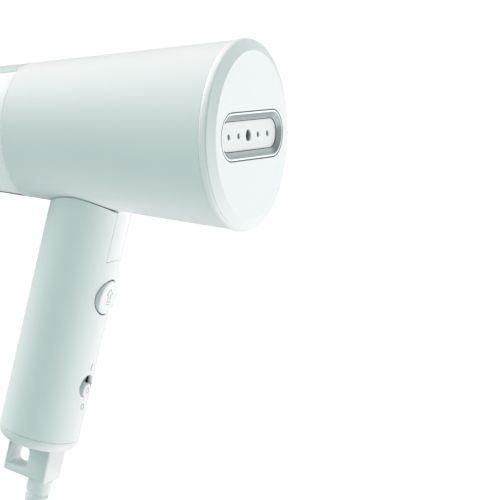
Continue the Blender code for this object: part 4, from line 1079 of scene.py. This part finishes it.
def make_filler():
    """A rubber stopper with a flange and a small grip."""
    end = TANK_END
    outline = [(0.0, end - 4.5), (5.0, end - 4.5), (5.7, end - 3.0), (5.7, end + 0.3), (8.5, end + 0.3),
               (8.5, end + 1.6), (7.5, end + 2.4), (2.6, end + 2.4), (2.2, end + 4.6), (0.0, end + 5.0)]
    bm = shift(turned(eased(outline, 0.5), 64, "Y"), (0, 0, FILLER_Z))
    stopper = place("filler_bung", bm, HEAD, RUBBER)
    finish_piece(stopper, "filler_stopper", ["filler_stopper"])


# ---- handle

def swung_barrel(angle):
    """The barrel turned about the hinge, for the room that the handle's top leaves it."""
    turning = Matrix.Translation(Vector(HINGE["pos_m"]))
    barrel = barrel_solid(SWUNG_GAP, 30.0, 100.0)
    barrel.matrix_world = turning @ Matrix.Rotation(radians(angle), 4, "X") @ turning.inverted()
    return barrel


def make_sleeve():
    """The handle's outer tube, cut to the barrel, with the tongue's slot and the two round holes in front."""
    outer, low, high = HANDLE_RADIUS, down_z(SLEEVE_END), down_z(HANDLE_TOP)
    outline = eased([(HANDLE_INNER, low), (outer, low), (outer, high), (HANDLE_INNER, high)], 0.35,
                    closed=True, keep=(0, 3))
    sleeve = place("handle_casing", turned(outline, ROUND, "Z", closed=True), HANDLE, SATIN)
    half = TONGUE_HALF_WIDTH + SLOT_SIDE_GAP
    slot = prism(side_profile(TONGUE_REAR - SLOT_REAR_GAP, KNUCKLE_RADIUS + SLOT_KNUCKLE_GAP, HANDLE_TOP),
                 -half, half)
    cutters = [barrel_solid(SLEEVE_GAP, 20.0, 120.0), place("slot", slot, HANDLE, SHELL)]
    cutters += [swung_barrel(angle) for angle in (6, 12, 18, 24)]
    for name, radius, down in (("trigger_hole", TRIGGER_HOLE_RADIUS, TRIGGER_DOWN),
                               ("slider_hole", SLIDER_HOLE_RADIUS, SLIDER_DOWN)):
        cutters.append(cylinder(name, radius, -26.0, -8.0, "Y", (0, 0, down_z(down)), HANDLE))
    carve(sleeve, cutters)
    true_normals(sleeve, [handle_wall])
    finish_piece(sleeve, "handle", ["handle_sleeve"])


def make_loop(top):
    """The hanging loop: a block with a slightly wider front and a rounded square hole through it."""
    plan = [(-8.3, LOOP_FRONT), (8.3, LOOP_FRONT), (6.6, LOOP_REAR), (-6.6, LOOP_REAR)]
    loop = place("loop", prism(eased(plan, 1.6, 6, closed=True), down_z(LOOP_END), top, "Z"), HANDLE, SHELL)
    hole = [(y + LOOP_HOLE_Y, z + down_z(LOOP_HOLE_DOWN)) for y, z in rounded_box(5.8, 5.6, 2.6, 8)]
    carve(loop, [place("loop_hole", prism(hole, -12, 12), HANDLE, SHELL)])
    soften(loop, 0.45, 3, 50)
    return loop


def make_end_cap():
    """The handle's foot with its spigot, the hanging loop, and a post inside for the cord clamp."""
    bottom, seam = down_z(CAP_END), down_z(SLEEVE_END + 0.12)
    outer, spigot = HANDLE_RADIUS - 0.1, HANDLE_INNER - GAP
    outline = [(0.0, bottom), (outer - CAP_FILLET, bottom)]
    outline += arc((outer - CAP_FILLET, bottom + CAP_FILLET), CAP_FILLET, -82, 0, 14)
    outline += [(outer, seam - 0.15), (outer - 0.15, seam), (spigot, seam), (spigot, seam + SPIGOT_LENGTH),
                (CAP_BORE_RADIUS, seam + SPIGOT_LENGTH), (CAP_BORE_RADIUS, bottom + CAP_FLOOR),
                (0.0, bottom + CAP_FLOOR)]
    cap = place("handle_foot", turned(outline, ROUND, "Z"), HANDLE, SHELL)
    carve(cap, [make_loop(bottom + 1.4)], "UNION")
    carve(cap, [block("post", (-8.2, -3.4, bottom + 0.8), (8.2, 1.0, down_z(150.8)), HANDLE)], "UNION")
    low, high = down_z(LOOP_END + 2), down_z(157.0)
    cutters = [cylinder("passage", CORD_PASSAGE_RADIUS, low, high, "Z", (0, -CORD_FORWARD, 0), HANDLE)]
    for side in (-1, 1):
        cutters.append(cylinder("screw_hole", 1.4, -13, -0.5, "Y", (side * 5.6, 0, -48.0), HANDLE, 24))
    carve(cap, cutters)
    finish_piece(cap, "handle", ["end_cap"])


def make_trigger():
    """The round steam button with its stem."""
    face = -(HANDLE_RADIUS + TRIGGER_PROUD)
    outline = [(0.0, face), (TRIGGER_RADIUS - 2.6, face), (TRIGGER_RADIUS - 0.9, face + 0.1)]
    outline += arc((TRIGGER_RADIUS - 0.9, face + 1.0), 0.9, -80, 0, 8)
    outline += [(TRIGGER_RADIUS, TRIGGER_BACK), (2.5, TRIGGER_BACK), (2.5, -10.4), (0.0, -10.4)]
    bm = shift(turned(outline, 96, "Y"), (0, 0, down_z(TRIGGER_DOWN)))
    button = place("steam_trigger", bm, HANDLE, SHELL)
    true_normals(button, [grip_flat(face)])
    finish_piece(button, "trigger", ["trigger_button"])


def make_steam_symbol():
    """An arrow over two waves, on the steam button."""
    z = down_z(TRIGGER_DOWN)
    top = -(HANDLE_RADIUS + TRIGGER_PROUD) + 0.05
    arrow = [(0.0, 4.6), (2.7, 1.6), (1.2, 1.6), (1.2, -0.6), (-1.2, -0.6), (-1.2, 1.6), (-2.7, 1.6)]
    lines = [stroke([(x, top, z + up) for x, up in arrow], MARK_RADIUS, closed=True)]
    for down in (-2.0, -3.4):
        wave = [(-1.9 + 0.2375 * step, top, z + down + 0.35 * sin(2 * pi * step / 16)) for step in range(17)]
        lines.append(stroke(wave, MARK_RADIUS))
    finish_piece(place("steam_symbol", merged(lines), HANDLE, MARKING), "trigger")


def make_trigger_gap_shade():
    """A ring in the dark rubber finish between the steam button and its hole, just under the handle's surface:
    painted shade for the gap round the button.
    """
    z = down_z(TRIGGER_DOWN)
    inner, outer = TRIGGER_RADIUS + 0.15, TRIGGER_HOLE_RADIUS - 0.05
    ring = turned([(inner, -22.0), (outer, -22.0), (outer, -16.4), (inner, -16.4)], 96, "Y", closed=True)
    shade_ring = place("trigger_gap_shade_ring", shift(ring, (0, 0, z)), HANDLE, RUBBER)
    radius = HANDLE_RADIUS - 0.3
    carve(shade_ring, [cylinder("skin", radius, z - 20, z + 20, "Z", (0, 0, 0), HANDLE, ROUND)], "INTERSECT")
    finish_piece(shade_ring, "handle")


def oval(half_width, half_height, y, z):
    """Points on an upright oval, facing forward."""
    turns = [2 * pi * step / 32 for step in range(32)]
    return [(half_width * cos(turn), y, z + half_height * sin(turn)) for turn in turns]


def make_slider():
    """The power switch's knob with its ring mark, and the shutter that slides with it behind the hole."""
    z = down_z(KNOB_DOWN)
    face = -(HANDLE_RADIUS + KNOB_PROUD)
    outline = [(0.0, face), (KNOB_RADIUS - 0.8, face)] + arc((KNOB_RADIUS - 0.6, face + 0.6), 0.6, -80, 0, 6)
    outline += [(KNOB_RADIUS, KNOB_BACK), (0.0, KNOB_BACK)]
    knob = place("power_slide_knob", shift(turned(outline, 64, "Y"), (0, 0, z)), HANDLE, SHELL)
    true_normals(knob, [grip_flat(face)])
    finish_piece(knob, "power_slider", ["slide_knob"])
    # The shutter is a real part. Its grey is painted shade for the dark recess round the knob.
    shutter = block("slide_shutter", (-6.4, -15.6, z - 11.5), (6.4, -14.6, z + 12.0), HANDLE, GREY)
    carve(shutter, [block("stem", (-1.5, -15.0, z - 2.5), (1.5, -9.0, z + 2.5), HANDLE)], "UNION")
    finish_piece(shutter, "power_slider")
    ring = stroke(oval(1.35, 1.35, face + 0.02, z), 0.2, closed=True)
    finish_piece(place("knob_symbol", ring, HANDLE, MARKING), "power_slider")


def make_switch_marks():
    """The marks for on, above the power switch, and off, below it."""
    face = -HANDLE_RADIUS
    line = stroke([(0, face, down_z(ON_MARK_TOP)), (0, face, down_z(ON_MARK_END))], MARK_RADIUS)
    finish_piece(place("on_mark", line, HANDLE, GREY), "handle")
    circle = stroke(oval(1.4, 1.5, face + 0.02, down_z(OFF_MARK_DOWN)), 0.22, closed=True)
    finish_piece(place("off_mark", circle, HANDLE, GREY), "handle")


bpy.context.scene.view_settings.view_transform = "Standard"
make_camera()
make_floor()
make_world()
make_light()
frost_with_painted_glow(TANK)
dress_inner_parts()
cord, cord_exit = make_cord()
relief = make_strain_relief()
tie = make_tie()
plug = make_plug()
make_head_shell()
make_wire_grommet()
make_trim_ring()
make_front_cover()
make_outlet_frame()
make_outlet_gap_shades()
make_outlet_plate()
make_tank()
# The top latch is painted lighter and the bottom latch darker: painted light and shade.
make_latch("top_latch_button", "latch_top", 90, TOP_LATCH_HALF, LATCH_GREY_PAINTED_LIGHT)
make_latch("bottom_latch_button", "latch_bottom", -90, BOTTOM_LATCH_HALF, LATCH_GREY_PAINTED_SHADE)
make_filler()
make_sleeve()
make_end_cap()
make_trigger()
make_steam_symbol()
make_trigger_gap_shade()
make_slider()
make_switch_marks()
